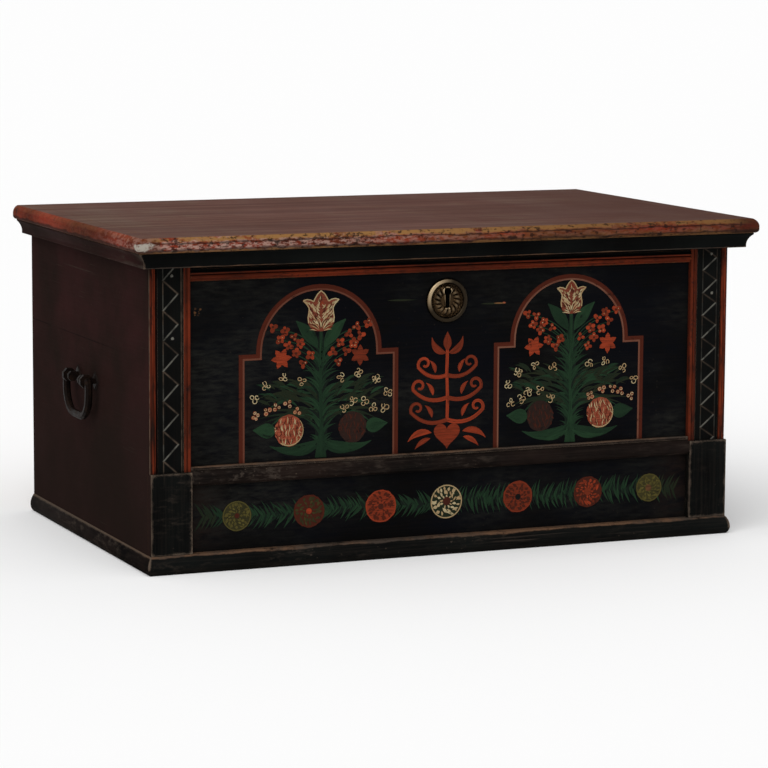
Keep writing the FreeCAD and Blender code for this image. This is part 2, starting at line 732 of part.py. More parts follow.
def bail_shape(x, eye_y, z):
    """The bail: round pins with upset ends through the eyes, and an eight-sided bar round the grip."""
    half, drop, radius = s.bail_half.value, s.bail_drop.value, s.bail_radius.value
    inner_end = eye_y - s.eye_wide.value / 2 - 2 * radius
    shoulder = eye_y + s.eye_wide.value / 2 + s.eye_play.value
    leg_top = shoulder + 1.5 * radius
    one_side = [
        FreeCAD.Vector(x, shoulder, z),
        FreeCAD.Vector(x, leg_top, z),
        FreeCAD.Vector(x, half, z - drop),
    ]
    other_side = [FreeCAD.Vector(x, -point.y, point.z) for point in reversed(one_side)]
    bends = [radius * 1.4, s.bail_bend.value]
    line = bent_line(one_side + other_side, bends + bends[::-1], int(s.bend_steps.value))
    runs = [forged_bar(line, radius)]
    for side in (-1, 1):
        outward = FreeCAD.Vector(0, side, 0)
        inside = FreeCAD.Vector(x, side * inner_end, z)
        runs.append(Part.makeCylinder(radius, shoulder - inner_end, inside, outward))
        runs.append(forged_bar([inside, inside - outward * radius], s.bail_knob.value))
    return runs[0].fuse(runs[1:]).removeSplitter()


def make_carcass(strap_holes, leaf_holes, lock_holes, shank_holes):
    """Dovetailed boards, the bottom, and the open till at the left end."""
    front_upper = tailed_board("front_upper", front_joint, s.rim_height, s.tails_front_upper, front_face)
    front_lower = tailed_board("front_lower", s.bottom_thick, front_joint, s.tails_front_lower, front_face)
    back_upper = tailed_board("back_upper", s.back_joint, s.rim_height, s.tails_back, back_inside)
    back_lower = tailed_board("back_lower", s.bottom_thick, s.back_joint, s.tails_back, back_inside)
    tailed = (front_upper, front_lower, back_upper, back_lower)
    blank_upper = box("side_upper", (side_inside, front_face, s.side_joint),
                      (half_width, back_face, s.rim_height))
    blank_lower = box("side_lower", (side_inside, front_face, s.bottom_thick),
                      (half_width, back_face, s.side_joint))
    side_upper = cut("right_upper", blank_upper, *tailed)
    side_lower = cut("right_lower", blank_lower, *tailed, shank_holes)

    # The till's boards stand in grooves of the front, the back and the left side.
    deep = s.housing_deep
    till_top = s.rim_height - s.till_below
    till_low = till_top - s.till_high
    till_inside = -side_inside + s.till_wide
    till_front = box("till_wall", (till_inside, front_inside - deep, till_low),
                     (till_inside + s.till_wall, back_inside + deep, till_top))
    till_floor = box("till_floor", (-side_inside - deep, front_inside - deep, till_low + deep),
                     (till_inside + deep, back_inside + deep, till_low + deep + s.till_floor))
    keep("till_bottom", till_floor)
    keep("till_front", cut("till_front", till_front, till_floor))

    key = keyhole("front_keyhole", front_face - 1, front_inside + 1)
    keep("front_board_upper", cut("front_board_upper", front_upper, till_front, till_floor, key, lock_holes))
    keep("front_board_lower", front_lower)
    room = s.knuckle_play
    notch = box("hinge_notch", (hinge_at - strap_half - room, back_inside - 1, strap_low - room),
                (hinge_at + strap_half + room, back_face + 1, s.rim_height + 1))
    notches = group("hinge_notches", notch, mirror("hinge_notch_left", notch, (1, 0, 0)))
    keep("back_board_upper", cut("back_board_upper", back_upper, till_front, till_floor, notches, leaf_holes))
    keep("back_board_lower", back_lower)
    keep("right_side_board_upper", side_upper)
    keep("right_side_board_lower", side_lower)
    left_upper = mirror("left_upper", side_upper, (1, 0, 0))
    keep("left_side_board_upper", cut("left_side_board_upper", left_upper, till_floor))
    keep("left_side_board_lower", mirror("left_lower", side_lower, (1, 0, 0)))

    joints = [front_face, front_face + s.bottom_front_wide, back_face - s.bottom_rear_wide, back_face]
    for name, start, end in zip(("front", "middle", "rear"), joints, joints[1:]):
        label = "bottom_board_" + name
        keep(label, box(label, (-half_width, start, 0), (half_width, end, s.bottom_thick)))


def make_facings():
    """Pilasters, frame strips, middle rail, plinth blocks and base moulding on the front."""
    radius = s.bead_wide / 2
    inner = half_width - s.pilaster_width
    field = front_face - s.pilaster_field
    root = front_face - s.bead_root
    quirk = half_width - s.bead_wide - s.bead_quirk
    pilaster = [
        (inner, front_face),
        (inner, field),
        (quirk, field),
        (quirk, root),
        (half_width - s.bead_wide, root, (half_width - radius, root), LEFT_TURN),
        (half_width, root),
        (half_width, front_face),
    ]
    keep_pair("pilaster", prism("pilaster", "XY", pilaster, s.block_top, s.rim_height))

    frame_inner = inner - s.frame_width
    reed = s.frame_width / 4
    reeds = front_face - s.frame_root
    frame = [
        (frame_inner, front_face),
        (frame_inner, reeds, (frame_inner + reed, reeds), LEFT_TURN),
        (frame_inner + reed * 2, reeds, (frame_inner + reed * 3, reeds), LEFT_TURN),
        (inner, reeds),
        (inner, front_face),
    ]
    keep_pair("panel_frame", prism("panel_frame", "XY", frame, s.block_top, s.rim_height))

    edge_face = front_face - s.strip_root
    strip_high = s.rim_height - s.strip_below
    strip_low = strip_high - s.strip_wide
    strip_reed = (s.strip_wide - s.strip_edge * 2) / 4
    first = strip_low + s.strip_edge
    strip = [
        (front_face, strip_high),
        (edge_face, strip_high),
        (edge_face, strip_high - s.strip_edge, (edge_face, first + strip_reed * 3), LEFT_TURN),
        (edge_face, first + strip_reed * 2, (edge_face, first + strip_reed), LEFT_TURN),
        (edge_face, first),
        (edge_face, strip_low),
        (front_face, strip_low),
    ]
    keep("panel_frame_top", prism("panel_frame_top", "YZ", strip, -frame_inner, frame_inner))

    torus_face = front_face - s.rail_root
    cap_face = front_face - s.rail_cap_out
    torus_top = s.rail_low + s.rail_radius * 2
    cap_top = torus_top + s.rail_cap_high
    rail = [
        (front_face, cap_top),
        (cap_face, cap_top),
        (cap_face, torus_top),
        (torus_face, torus_top, (torus_face, s.rail_low + s.rail_radius), LEFT_TURN),
        (torus_face, s.rail_low),
        (front_face, s.rail_low),
    ]
    keep("middle_rail", prism("middle_rail", "YZ", rail, -frame_inner, frame_inner))

    block = box("plinth_block", (frame_inner, front_face - s.block_thick, s.base_high),
                (half_width, front_face, s.block_top))
    keep_pair("plinth_block", block)

    # Base moulding: the front and side lengths share one full, rounded profile and meet in mitres.
    base_front = front_face - s.block_thick - s.base_out
    base_side = half_width + s.base_out
    block_face = front_face - s.block_thick
    belly = s.base_belly
    toe = s.base_toe
    fall = s.base_high - belly
    upper = (s.base_out * s.base_out + fall * fall) / (s.base_out * 2)
    lower = (toe * toe + belly * belly) / (toe * 2)
    front_profile = [
        (front_face, 0),
        (front_face, s.base_high),
        (block_face, s.base_high, (base_front + upper, belly), LEFT_TURN),
        (base_front, belly, (base_front + lower, belly), LEFT_TURN),
        (base_front + toe, 0),
    ]
    front_plan = [
        (-base_side, base_front),
        (base_side, base_front),
        (half_width, block_face),
        (half_width, front_face),
        (-half_width, front_face),
        (-half_width, block_face),
    ]
    front_length = prism("base_front_length", "YZ", front_profile, -base_side, base_side)
    front_mitre = prism("base_front_mitre", "XY", front_plan, -1, s.base_high + 1)
    keep("base_moulding_front", common("base_moulding_front", front_length, front_mitre))
    side_profile = [
        (half_width, 0),
        (base_side - toe, 0, (base_side - lower, belly), LEFT_TURN),
        (base_side, belly, (base_side - upper, belly), LEFT_TURN),
        (half_width, s.base_high),
    ]
    side_plan = [
        (base_side, base_front),
        (base_side, back_face),
        (half_width, back_face),
        (half_width, block_face),
    ]
    side_length = prism("base_side_length", "XZ", side_profile, base_front, back_face)
    side_mitre = prism("base_side_mitre", "XY", side_plan, -1, s.base_high + 1)
    keep_pair("base_moulding", common("base_moulding_side", side_length, side_mitre))


def make_escutcheon():
    """Round sheet-metal escutcheon with a rolled rim and a raised middle round the keyhole."""
    body = doc.addObject("PartDesign::Body", "escutcheon_body")
    rim, roll, flat, boss = s.plate_radius, s.plate_roll, s.plate_flat, s.boss_radius
    profile = [
        (0, 0),
        (0, -s.boss_high),
        (boss - s.boss_high, -s.boss_high),
        (boss, -flat),
        (rim - roll * 2, -flat),
        (rim - roll, -roll),
        (rim, -flat),
        (rim, 0),
    ]
    sketch = draw(body, "XY", profile, 0)
    turned = body.newObject("PartDesign::Revolution", "escutcheon_turned")
    turned.Profile = sketch
    turned.ReferenceAxis = (sketch, ["V_Axis"])
    turned.Angle = 360
    body.Tip = turned
    place(body, 0, front_face, s.rim_height - s.plate_below)
    key = keyhole("escutcheon_keyhole", front_face - s.boss_high * 2, front_face + 1)
    keep("escutcheon", cut("escutcheon", body, key))


def nosing(edge, away, low, turn):
    """Corners of the lid's edge moulding, from the top to the underside; away points inward."""
    top = low + s.lid_thick
    side = as_size(away)
    belly = (s.nose_run * s.nose_run + s.nose_rise * s.nose_rise) / (s.nose_run * 2)
    swell = top - s.nose_rise
    return [
        (edge + side * s.nose_run, top, (edge + side * belly, swell), turn),
        (edge, swell),
        (edge, low + s.nose_toe, (edge + side * s.nose_toe, low + s.nose_toe), turn),
        (edge + side * s.nose_toe, low),
    ]


def peg(x, y, half, extra):
    """A square peg down through the lid's thickness, or with extra length the hole for it."""
    return box("peg", (x - half, y - half, lid_under - extra), (x + half, y + half, lid_top + extra))


def make_lid(strap_holes, hasp_holes):
    """Three boards held by tongued cross cleats, with a cove skirt under three edges."""
    joints = [lid_front, lid_front + s.lid_front_wide, back_face - s.lid_rear_wide, back_face]
    tip = cleat_inside + s.tongue_long
    tongue_low = lid_under + (s.lid_thick - s.tongue_thick) / 2
    tongue_top = tongue_low + s.tongue_thick
    front_section = nosing(lid_front, 1, lid_under, LEFT_TURN)
    front_section += [(joints[1], lid_under), (joints[1], lid_top)]
    front = prism("lid_front_blank", "YZ", front_section, -tip, tip)
    middle = box("lid_middle_blank", (-tip, joints[1], lid_under), (tip, joints[2], lid_top))
    rear = box("lid_rear_blank", (-tip, joints[2], lid_under), (tip, joints[3], lid_top))
    over = box("tongue_over", (cleat_inside, lid_front - 1, tongue_top), (tip + 1, back_face + 1, lid_top + 1))
    under = box("tongue_under", (cleat_inside, lid_front - 1, lid_under - 1),
                (tip + 1, back_face + 1, tongue_low))
    waste = [over, under, mirror("over_left", over, (1, 0, 0)), mirror("under_left", under, (1, 0, 0))]

    peg_x = (cleat_inside + tip) / 2
    peg_y = [(start + end) / 2 for start, end in zip(joints, joints[1:])]
    drills = group("peg_drills", *[peg(peg_x, y, s.peg_half + s.nail_play, 1) for y in peg_y])
    both_drills = group("all_drills", drills, mirror("drills_left", drills, (1, 0, 0)))
    pegs = [peg(peg_x, y, s.peg_half, 0) for y in peg_y]
    right_pegs = group("pegs", *pegs)
    keep("lid_pegs", group("lid_pegs", right_pegs, mirror("pegs_left", right_pegs, (1, 0, 0))))

    # The tongue stops short of the front edge, so that none of it shows there.
    stop = box("tongue_stop", (cleat_inside, lid_front - 1, lid_under - 1),
               (tip + 1, lid_front + s.cleat_wide, lid_top + 1))
    stops = [stop, mirror("tongue_stop_left", stop, (1, 0, 0))]
    keep("lid_board_front", cut("lid_board_front", front, *waste, *stops, both_drills, strap_holes, hasp_holes))
    keep("lid_board_middle", cut("lid_board_middle", middle, *waste, both_drills, strap_holes))
    keep("lid_board_rear", cut("lid_board_rear", rear, *waste, both_drills, strap_holes))

    end_section = nosing(lid_end, -1, lid_under, RIGHT_TURN)
    end_section += [(cleat_inside, lid_under), (cleat_inside, lid_top)]
    end_length = prism("cleat_length", "XZ", end_section, lid_front, back_face)
    front_shape = nosing(lid_front, 1, lid_under, LEFT_TURN)
    front_shape += [(back_face, lid_under), (back_face, lid_top)]
    end_front = prism("cleat_front", "YZ", front_shape, cleat_inside, lid_end)
    groove = box("cleat_groove", (cleat_inside - 1, lid_front + s.cleat_wide, tongue_low),
                 (tip + s.tongue_play, back_face + 1, tongue_top))
    cleat = common("cleat_shaped", end_length, end_front)
    keep_pair("lid_cleat", cut("cleat", cleat, groove, drills))

    # Skirt: a lip, a cove and a square foot, mitred at the front corners.
    outer_front = lid_front + s.skirt_inset
    outer_side = lid_end - s.skirt_inset
    inner_front = front_face - s.bead_root - s.bead_wide / 2 - s.skirt_gap
    inner_side = half_width + s.skirt_gap
    lip = lid_under - s.skirt_lip
    foot = lip - s.skirt_fall
    sweep = (s.skirt_cove * s.skirt_cove + s.skirt_fall * s.skirt_fall) / (s.skirt_cove * 2)
    low = lid_under - s.skirt_drop
    front_profile = [
        (inner_front, lid_under),
        (outer_front, lid_under),
        (outer_front, lip, (outer_front + s.skirt_cove - sweep, foot), RIGHT_TURN),
        (outer_front + s.skirt_cove, foot),
        (outer_front + s.skirt_cove, low),
        (inner_front, low),
    ]
    thick = outer_side - inner_side
    front_plan = [
        (-outer_side, outer_front),
        (outer_side, outer_front),
        (inner_side, outer_front + thick),
        (inner_side, inner_front),
        (-inner_side, inner_front),
        (-inner_side, outer_front + thick),
    ]
    front_length = prism("skirt_front_length", "YZ", front_profile, -outer_side, outer_side)
    front_mitre = prism("skirt_front_mitre", "XY", front_plan, low - 1, lid_under + 1)
    keep("lid_skirt_front", common("lid_skirt_front", front_length, front_mitre))
    side_profile = [
        (inner_side, lid_under),
        (outer_side, lid_under),
        (outer_side, lip, (outer_side - s.skirt_cove + sweep, foot), LEFT_TURN),
        (outer_side - s.skirt_cove, foot),
        (outer_side - s.skirt_cove, low),
        (inner_side, low),
    ]
    side_plan = [
        (outer_side, outer_front),
        (outer_side, back_face),
        (inner_side, back_face),
        (inner_side, outer_front + thick),
    ]
    side_length = prism("skirt_side_length", "XZ", side_profile, outer_front, back_face)
    side_mitre = prism("skirt_side_mitre", "XY", side_plan, low - 1, lid_under + 1)
    keep_pair("lid_skirt", common("lid_skirt_side", side_length, side_mitre))


def check_and_write():
    """Stops on any failed object or bad solid, then writes one file for each sub-part."""
    doc.recompute()
    failed = [item.Label for item in doc.Objects if {"Invalid", "Error"} & set(item.State)]
    if failed:
        raise RuntimeError("failed objects: " + ", ".join(failed))
    for label, item in pieces.items():
        if item.Shape.isNull() or not item.Shape.isValid() or not item.Shape.Solids:
            raise RuntimeError("bad solid: " + label)
    os.makedirs("parts", exist_ok=True)
    for label, item in pieces.items():
        item.Shape.exportStep("parts/%s.step" % label)
    print("%d sub-parts written" % len(pieces))


strap_holes, leaf_holes = make_hinges()
lock_holes, hasp_holes = make_lock()
shank_holes = make_handles()
make_carcass(strap_holes, leaf_holes, lock_holes, shank_holes)
make_facings()
make_escutcheon()
make_lid(strap_holes, hasp_holes)
check_and_write()
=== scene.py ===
"""Painted dowry trunk: worn paint, bare wood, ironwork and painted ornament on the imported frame."""

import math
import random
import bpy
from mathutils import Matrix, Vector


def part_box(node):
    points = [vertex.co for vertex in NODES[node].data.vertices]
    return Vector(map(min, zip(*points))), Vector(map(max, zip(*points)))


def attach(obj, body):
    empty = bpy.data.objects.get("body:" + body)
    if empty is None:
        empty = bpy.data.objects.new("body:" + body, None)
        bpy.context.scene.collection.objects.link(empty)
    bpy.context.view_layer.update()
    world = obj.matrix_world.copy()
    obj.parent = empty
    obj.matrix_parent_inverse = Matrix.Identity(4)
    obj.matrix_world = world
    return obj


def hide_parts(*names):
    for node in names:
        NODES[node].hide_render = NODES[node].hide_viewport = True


bl_info = {
    "name": "Painted Dowry Trunk",
    "version": (1, 0, 0),
    "blender": (4, 5, 0),
    "location": "View3D > Sidebar > Trunk",
    "description": "Finishes a joiner-made dowry trunk: paint, wear, carving, ironwork and ornament",
    "category": "Object",
}

import bmesh
import bpy
from bpy.props import FloatProperty, FloatVectorProperty, PointerProperty
from mathutils import Matrix, Vector

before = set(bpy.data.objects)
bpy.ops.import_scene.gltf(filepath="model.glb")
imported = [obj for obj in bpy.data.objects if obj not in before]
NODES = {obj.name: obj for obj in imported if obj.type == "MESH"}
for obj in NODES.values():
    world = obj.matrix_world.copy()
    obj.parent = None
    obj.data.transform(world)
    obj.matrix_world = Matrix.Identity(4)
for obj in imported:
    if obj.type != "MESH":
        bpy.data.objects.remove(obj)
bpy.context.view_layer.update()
MM = 0.001
SIDES = ((-1, "left"), (1, "right"))

# Planes and edges of the frame that the finishes and the ornament are placed by
PANEL_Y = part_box("front_board_upper")[0].y
PANEL_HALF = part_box("panel_frame_right")[0].x
PANEL_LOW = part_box("middle_rail")[1].z
FRIEZE_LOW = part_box("base_moulding_front")[1].z
FRIEZE_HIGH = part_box("middle_rail")[0].z
SIDE_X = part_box("right_side_board_upper")[1].x
SIDE_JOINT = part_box("right_side_board_upper")[0].z
BACK_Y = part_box("back_board_upper")[1].y
STRIP_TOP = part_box("panel_frame_top")[1].z
STRIP_MIDDLE = (STRIP_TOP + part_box("panel_frame_top")[0].z) / 2
SKIRT_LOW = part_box("lid_skirt_front")[0].z
LID_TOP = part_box("lid_board_front")[1].z
LID_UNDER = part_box("lid_board_front")[0].z
LID_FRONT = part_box("lid_board_front")[0].y
LID_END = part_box("lid_cleat_right")[1].x

# Joints in the lid's top, by axis: between its boards, and between boards and cleats
LID_JOINTS = ((1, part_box("lid_board_middle")[0].y), (1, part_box("lid_board_rear")[0].y),
              (0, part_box("lid_cleat_left")[1].x), (0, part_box("lid_cleat_right")[0].x))

# Where the lid's left front corner is chipped, and how far the chip runs along each axis
CHIP = (-LID_END, LID_FRONT, LID_TOP - 15 * MM)
CHIP_STRETCH = (0.4, 0.6, 1.4)

# Rays that feel for edges and corners, the grain of ragged noise, and how the lid's worn lines waver
FEELERS = 6
RAGGED_DETAIL = 6
RAGGED_ROUGHNESS = 0.72
NOSING_WAVER = (22, 22, 60)

# Dirt and painted shade in the corners of painted and of bare wood
PAINT_DIRT_AND_SHADE = (0.006, 0.005, 0.004)
WOOD_DIRT_AND_SHADE = (0.03, 0.02, 0.012)


def srgb(red, green, blue):
    """A colour on the screen's scale, 0 to 255, as the linear values that a shader takes."""
    def linear(level):
        share = level / 255
        return share / 12.92 if share <= 0.04045 else ((share + 0.055) / 1.055) ** 2.4
    return (linear(red), linear(green), linear(blue))


def colour(name, description, chip):
    """A colour property of the trunk."""
    return FloatVectorProperty(name=name, description=description, default=srgb(*chip),
                               subtype="COLOR", size=3, min=0, max=1)


def length(name, description, millimetres):
    """A length property of the trunk, given in millimetres."""
    return FloatProperty(name=name, description=description, default=millimetres * MM,
                         unit="LENGTH", min=0, precision=5)


class TrunkColours(bpy.types.PropertyGroup):
    """Paints, woods and metals of the trunk."""

    night: colour("Night black", "Black paint of the front", (9, 9, 9))
    ink: colour("Ink blue", "Blue-black places in the front paint", (10, 11, 15))
    haze: colour("Haze", "Grey bloom where the front paint has dried out", (33, 33, 30))
    bog: colour("Bog green", "Green-black shade of the mouldings", (17, 19, 18))
    soot: colour("Soot brown", "Warm brown-black paint of the sides", (46, 26, 25))
    umber: colour("Umber", "Deep shade of the sides and hollows", (31, 23, 20))
    dust: colour("Dust", "Greyish rubbed paint on mouldings", (60, 52, 46))
    oxblood: colour("Oxblood brown", "Dull red-brown paint of the lid's top", (103, 73, 65))
    # Also paints the lid's painted shade towards the right
    oxblood_dark: colour("Dark oxblood", "Darker streaks in the lid's top", (76, 51, 44))
    sealing: colour("Sealing red", "Orange-red of beads and strips", (116, 46, 26))
    sealing_dark: colour("Dark sealing red", "Aged shade of the same red", (60, 27, 17))
    nosing: colour("Nosing red", "Red paint left on the lid's edge", (134, 46, 30))
    scuff: colour("Scuff", "Pinkish scuffs where the red is thin", (156, 124, 112))
    tan: colour("Tan wood", "Worn bare pine at the edges", (136, 98, 58))
    pale: colour("Pale wood", "Grey worn pine and dusty edges", (108, 93, 79))
    rubbed: colour("Rubbed brown", "Worn ledges of the mouldings", (94, 70, 53))
    gesso: colour("Gesso", "Ground under the paint where a corner is chipped", (158, 151, 140))
    # Lighter tint of the pins, and the painted highlight of the zigzag's rising strokes
    chalk_and_highlight: colour("Chalk", "Pale pins and painted highlight on the carving", (104, 102, 94))
    pine: colour("Old pine", "Unpainted pine, inside and behind", (142, 104, 66))
    pine_dark: colour("Dark pine", "Late wood and old stains", (96, 64, 38))
    arch: colour("Arch red", "Brown-red of the painted arches", (77, 30, 18))
    arch_light: colour("Light arch red", "Lighter inner edge of the arches", (114, 77, 61))
    leaf: colour("Leaf green", "Green of stems, leaves and garland", (32, 55, 35))
    leaf_dark: colour("Dark leaf green", "Thin or shaded green", (18, 32, 22))
    moss: colour("Moss brown", "Olive-brown foliage", (34, 35, 22))
    petal: colour("Petal red", "Orange-red of flowers and stars", (148, 56, 31))
    petal_dark: colour("Dark petal red", "Brown-red of dark flowers", (62, 29, 21))
    chestnut: colour("Chestnut", "Dull brown of the plain fruit", (50, 31, 25))
    cream: colour("Cream", "Cream of blossoms and streaks", (178, 168, 132))
    blush: colour("Blush", "Pinkish base of tulips and fruit", (146, 74, 52))
    khaki: colour("Khaki", "Dull shade in the outer rosettes", (62, 56, 28))
    olive: colour("Olive", "Yellow-green of the outer rosettes", (84, 77, 36))
    iron: colour("Forged iron", "Blackened iron", (19, 14, 12))
    rust: colour("Rust", "Brown bloom on the iron", (34, 23, 17))
    brass: colour("Aged brass", "Brown brass of the escutcheon", (60, 45, 28))
    # Painted highlight on the escutcheon, on the side towards the key light
    brass_highlight: colour("Brass highlight", "Painted highlight on the brass towards the key light", (180, 158, 126))
    # Tarnish in the hollows, and also the rim's painted shade away from its highlight
    brass_dark: colour("Brass tarnish", "Tarnish in the hollows", (14, 11, 8))
    floor: colour("Floor", "Pale studio floor", (254, 254, 254))


class TrunkOrnament(bpy.types.PropertyGroup):
    """Sizes of the carved and painted ornament."""

    film: length("Paint film", "How far a coat of ornament stands off the board", 0.25)
    arch_offset: length("Arch offset", "Middle of the trunk to the middle of an arch", 243)
    arch_half: length("Arch half width", "Half width of an arch's foot, outside", 150)
    arch_radius: length("Arch radius", "Outer radius of the round top", 118)
    arch_shoulder: length("Arch shoulder", "Height of the shoulders", 374)
    arch_line: length("Arch line", "Width of the painted line", 10.4)
    rosette_height: length("Rosette height", "Height of the row of rosettes", 92)
    rosette_radius: length("Rosette radius", "Radius of the middle rosette", 31)
    zigzag_left: length("Left zigzag pitch", "One zig and zag on the left pilaster", 52)
    zigzag_right: length("Right zigzag pitch", "One zig and zag on the right pilaster", 41.5)
    groove: length("Carved groove", "Width of an incised line", 2.8)
    pilaster_field: length("Pilaster field", "How far a pilaster's flat stands off the board", 9)
    bead_width: length("Bead width", "Width of the bead on a pilaster's outer edge", 13)
    bead_root: length("Bead root", "How far the quirk beside the bead stands off the board", 5)
    quirk: length("Quirk", "Width of the sunk line beside the bead", 2)
    keyhole_rise: length("Keyhole rise", "Middle of the escutcheon to the keyhole's round end", 16)
    keyhole_radius: length("Keyhole radius", "Radius of the keyhole's round end", 7)
    keyhole_slot: length("Keyhole slot", "Width of the keyhole's slot", 8)
    keyhole_drop: length("Keyhole drop", "Round end's middle to the foot of the slot", 29)


class TrunkStage(bpy.types.PropertyGroup):
    """Camera and light."""

    eye: FloatVectorProperty(name="Eye", description="Where the camera stands", size=3, unit="LENGTH",
                             default=(-2.32085, -5.52996, 1.09516))
    heading: FloatProperty(name="Heading", description="Turn of the view towards the right",
                           default=math.radians(22.97), subtype="ANGLE")
    tilt: FloatProperty(name="Tilt", description="Tilt of the view, down below zero",
                        default=math.radians(-7.925), subtype="ANGLE")
    roll: FloatProperty(name="Roll", description="Roll of the camera",
                        default=math.radians(0.294), subtype="ANGLE")
    lens: FloatProperty(name="Lens", description="Focal length in millimetres", default=151.3)
    key: FloatProperty(name="Key light", description="Strength of the soft key light", default=1.9)
    fill: FloatProperty(name="Fill light", description="Strength of the surrounding light", default=0.5)


# Node helpers

def put(tree, kind, inputs=None, **settings):
    """Adds a shader node, sets its settings, and sets or links its inputs by name or number."""
    node = tree.nodes.new("ShaderNode" + kind)
    for name, value in settings.items():
        setattr(node, name, value)
    for name, value in (inputs or {}).items():
        if isinstance(value, bpy.types.NodeSocket):
            tree.links.new(value, node.inputs[name])
        elif node.inputs[name].type == "RGBA":
            node.inputs[name].default_value = (*value[:3], 1)
        else:
            node.inputs[name].default_value = value
    return node


def calc(tree, operation, first, second=0.0):
    """Arithmetic on two values."""
    return put(tree, "Math", {0: first, 1: second}, operation=operation).outputs[0]


def times(tree, first, second):
    """The product of two values."""
    return calc(tree, "MULTIPLY", first, second)


def close_to(tree, value, level, reach):
    """One where a value lies within reach of a level, and nothing elsewhere."""
    return put(tree, "Math", {0: value, 1: level, 2: reach}, operation="COMPARE").outputs[0]


def axes(tree, vector):
    """A vector's three parts."""
    return put(tree, "SeparateXYZ", {0: vector}).outputs


def at_rest(tree):
    """The place on a piece as it stands at rest."""
    return put(tree, "TexCoord").outputs["Object"]


def marked(tree, name):
    """The marks that were left on a piece's points when it was made."""
    return put(tree, "Attribute", attribute_name=name).outputs["Vector"]


def span(tree, value, low, high, start=0.0, end=1.0):
    """Eases a value from start to end while it goes from low to high."""
    inputs = {"Value": value, "From Min": low, "From Max": high, "To Min": start, "To Max": end}
    return put(tree, "MapRange", inputs, interpolation_type="SMOOTHSTEP").outputs[0]


def mixed(tree, share, first, second):
    """Mixes two colours by a share."""
    return put(tree, "Mix", {0: share, 6: first, 7: second}, data_type="RGBA").outputs[2]


def stretched(tree, vector, scale):
    """Scales a place along each axis, so that a pattern can run long one way."""
    return put(tree, "Mapping", {"Vector": vector, "Scale": scale}).outputs[0]


def cloud(tree, vector, scale, detail=4.0, rough=0.55):
    """Soft noise from 0 to 1."""
    inputs = {"Vector": vector, "Scale": scale, "Detail": detail, "Roughness": rough}
    return put(tree, "TexNoise", inputs).outputs[0]


def new_group(name, outputs, **values):
    """An empty shader node group: a place and named values go in, named values come out."""
    tree = bpy.data.node_groups.new(name, "ShaderNodeTree")
    tree.interface.new_socket("Vector", in_out="INPUT", socket_type="NodeSocketVector")
    for label, value in values.items():
        tree.interface.new_socket(label, in_out="INPUT", socket_type="NodeSocketFloat").default_value = value
    for label in outputs:
        tree.interface.new_socket(label, in_out="OUTPUT", socket_type="NodeSocketFloat")
    return tree, tree.nodes.new("NodeGroupInput").outputs, tree.nodes.new("NodeGroupOutput").inputs


def use_group(tree, name, **inputs):
    """Places a node group in a material, with its own values."""
    return put(tree, "Group", inputs, node_tree=bpy.data.node_groups[name]).outputs


def make_edge_wear():
    """Where hands and knocks rub the paint off outer edges."""
    tree, entry, leave = new_group("Edge Wear", ["Wear"], Reach=0.004, Amount=0.4)
    near = put(tree, "AmbientOcclusion", {"Distance": entry["Reach"]}, samples=FEELERS, inside=True,
               only_local=True)
    edge = times(tree, calc(tree, "SUBTRACT", 1.0, near.outputs["AO"]), 2.0)
    breakup = times(tree, calc(tree, "SUBTRACT", cloud(tree, entry["Vector"], 34, 9, 0.7), 0.5), 2.0)
    worn = calc(tree, "ADD", calc(tree, "ADD", edge, breakup), calc(tree, "SUBTRACT", entry["Amount"], 1.0))
    worn = times(tree, span(tree, worn, 0.0, 0.35), span(tree, edge, 0.05, 0.2))
    tree.links.new(worn, leave["Wear"])


def make_wood_grain():
    """Long streaks, fine fibres, and growth rings that bend round knots, along the first axis."""
    tree, entry, leave = new_group("Wood Grain", ["Streaks", "Fibre", "Rings", "Knots"])
    tree.links.new(cloud(tree, stretched(tree, entry["Vector"], (1.2, 26, 26)), 1, 5), leave["Streaks"])
    tree.links.new(cloud(tree, stretched(tree, entry["Vector"], (9, 420, 420)), 1, 3), leave["Fibre"])
    wide = stretched(tree, entry["Vector"], (3, 7, 7))
    cells = put(tree, "TexVoronoi", {"Vector": wide, "Scale": 1.0}).outputs
    kept = span(tree, axes(tree, cells["Color"])[0], 0.45, 0.5)
    tree.links.new(times(tree, kept, span(tree, cells["Distance"], 0.11, 0.06)), leave["Knots"])
    bend = times(tree, kept, span(tree, cells["Distance"], 0.32, 0.0, 0.0, 5.0))
    wavy = times(tree, cloud(tree, stretched(tree, entry["Vector"], (0.5, 8, 8)), 1, 1.5), 26.0)
    fine = cloud(tree, stretched(tree, entry["Vector"], (4, 60, 60)), 1, 2)
    ring = calc(tree, "FRACT", calc(tree, "ADD", calc(tree, "ADD", wavy, bend), fine))
    late = times(tree, span(tree, ring, 0.2, 0.88), span(tree, ring, 1.0, 0.9))
    tree.links.new(late, leave["Rings"])


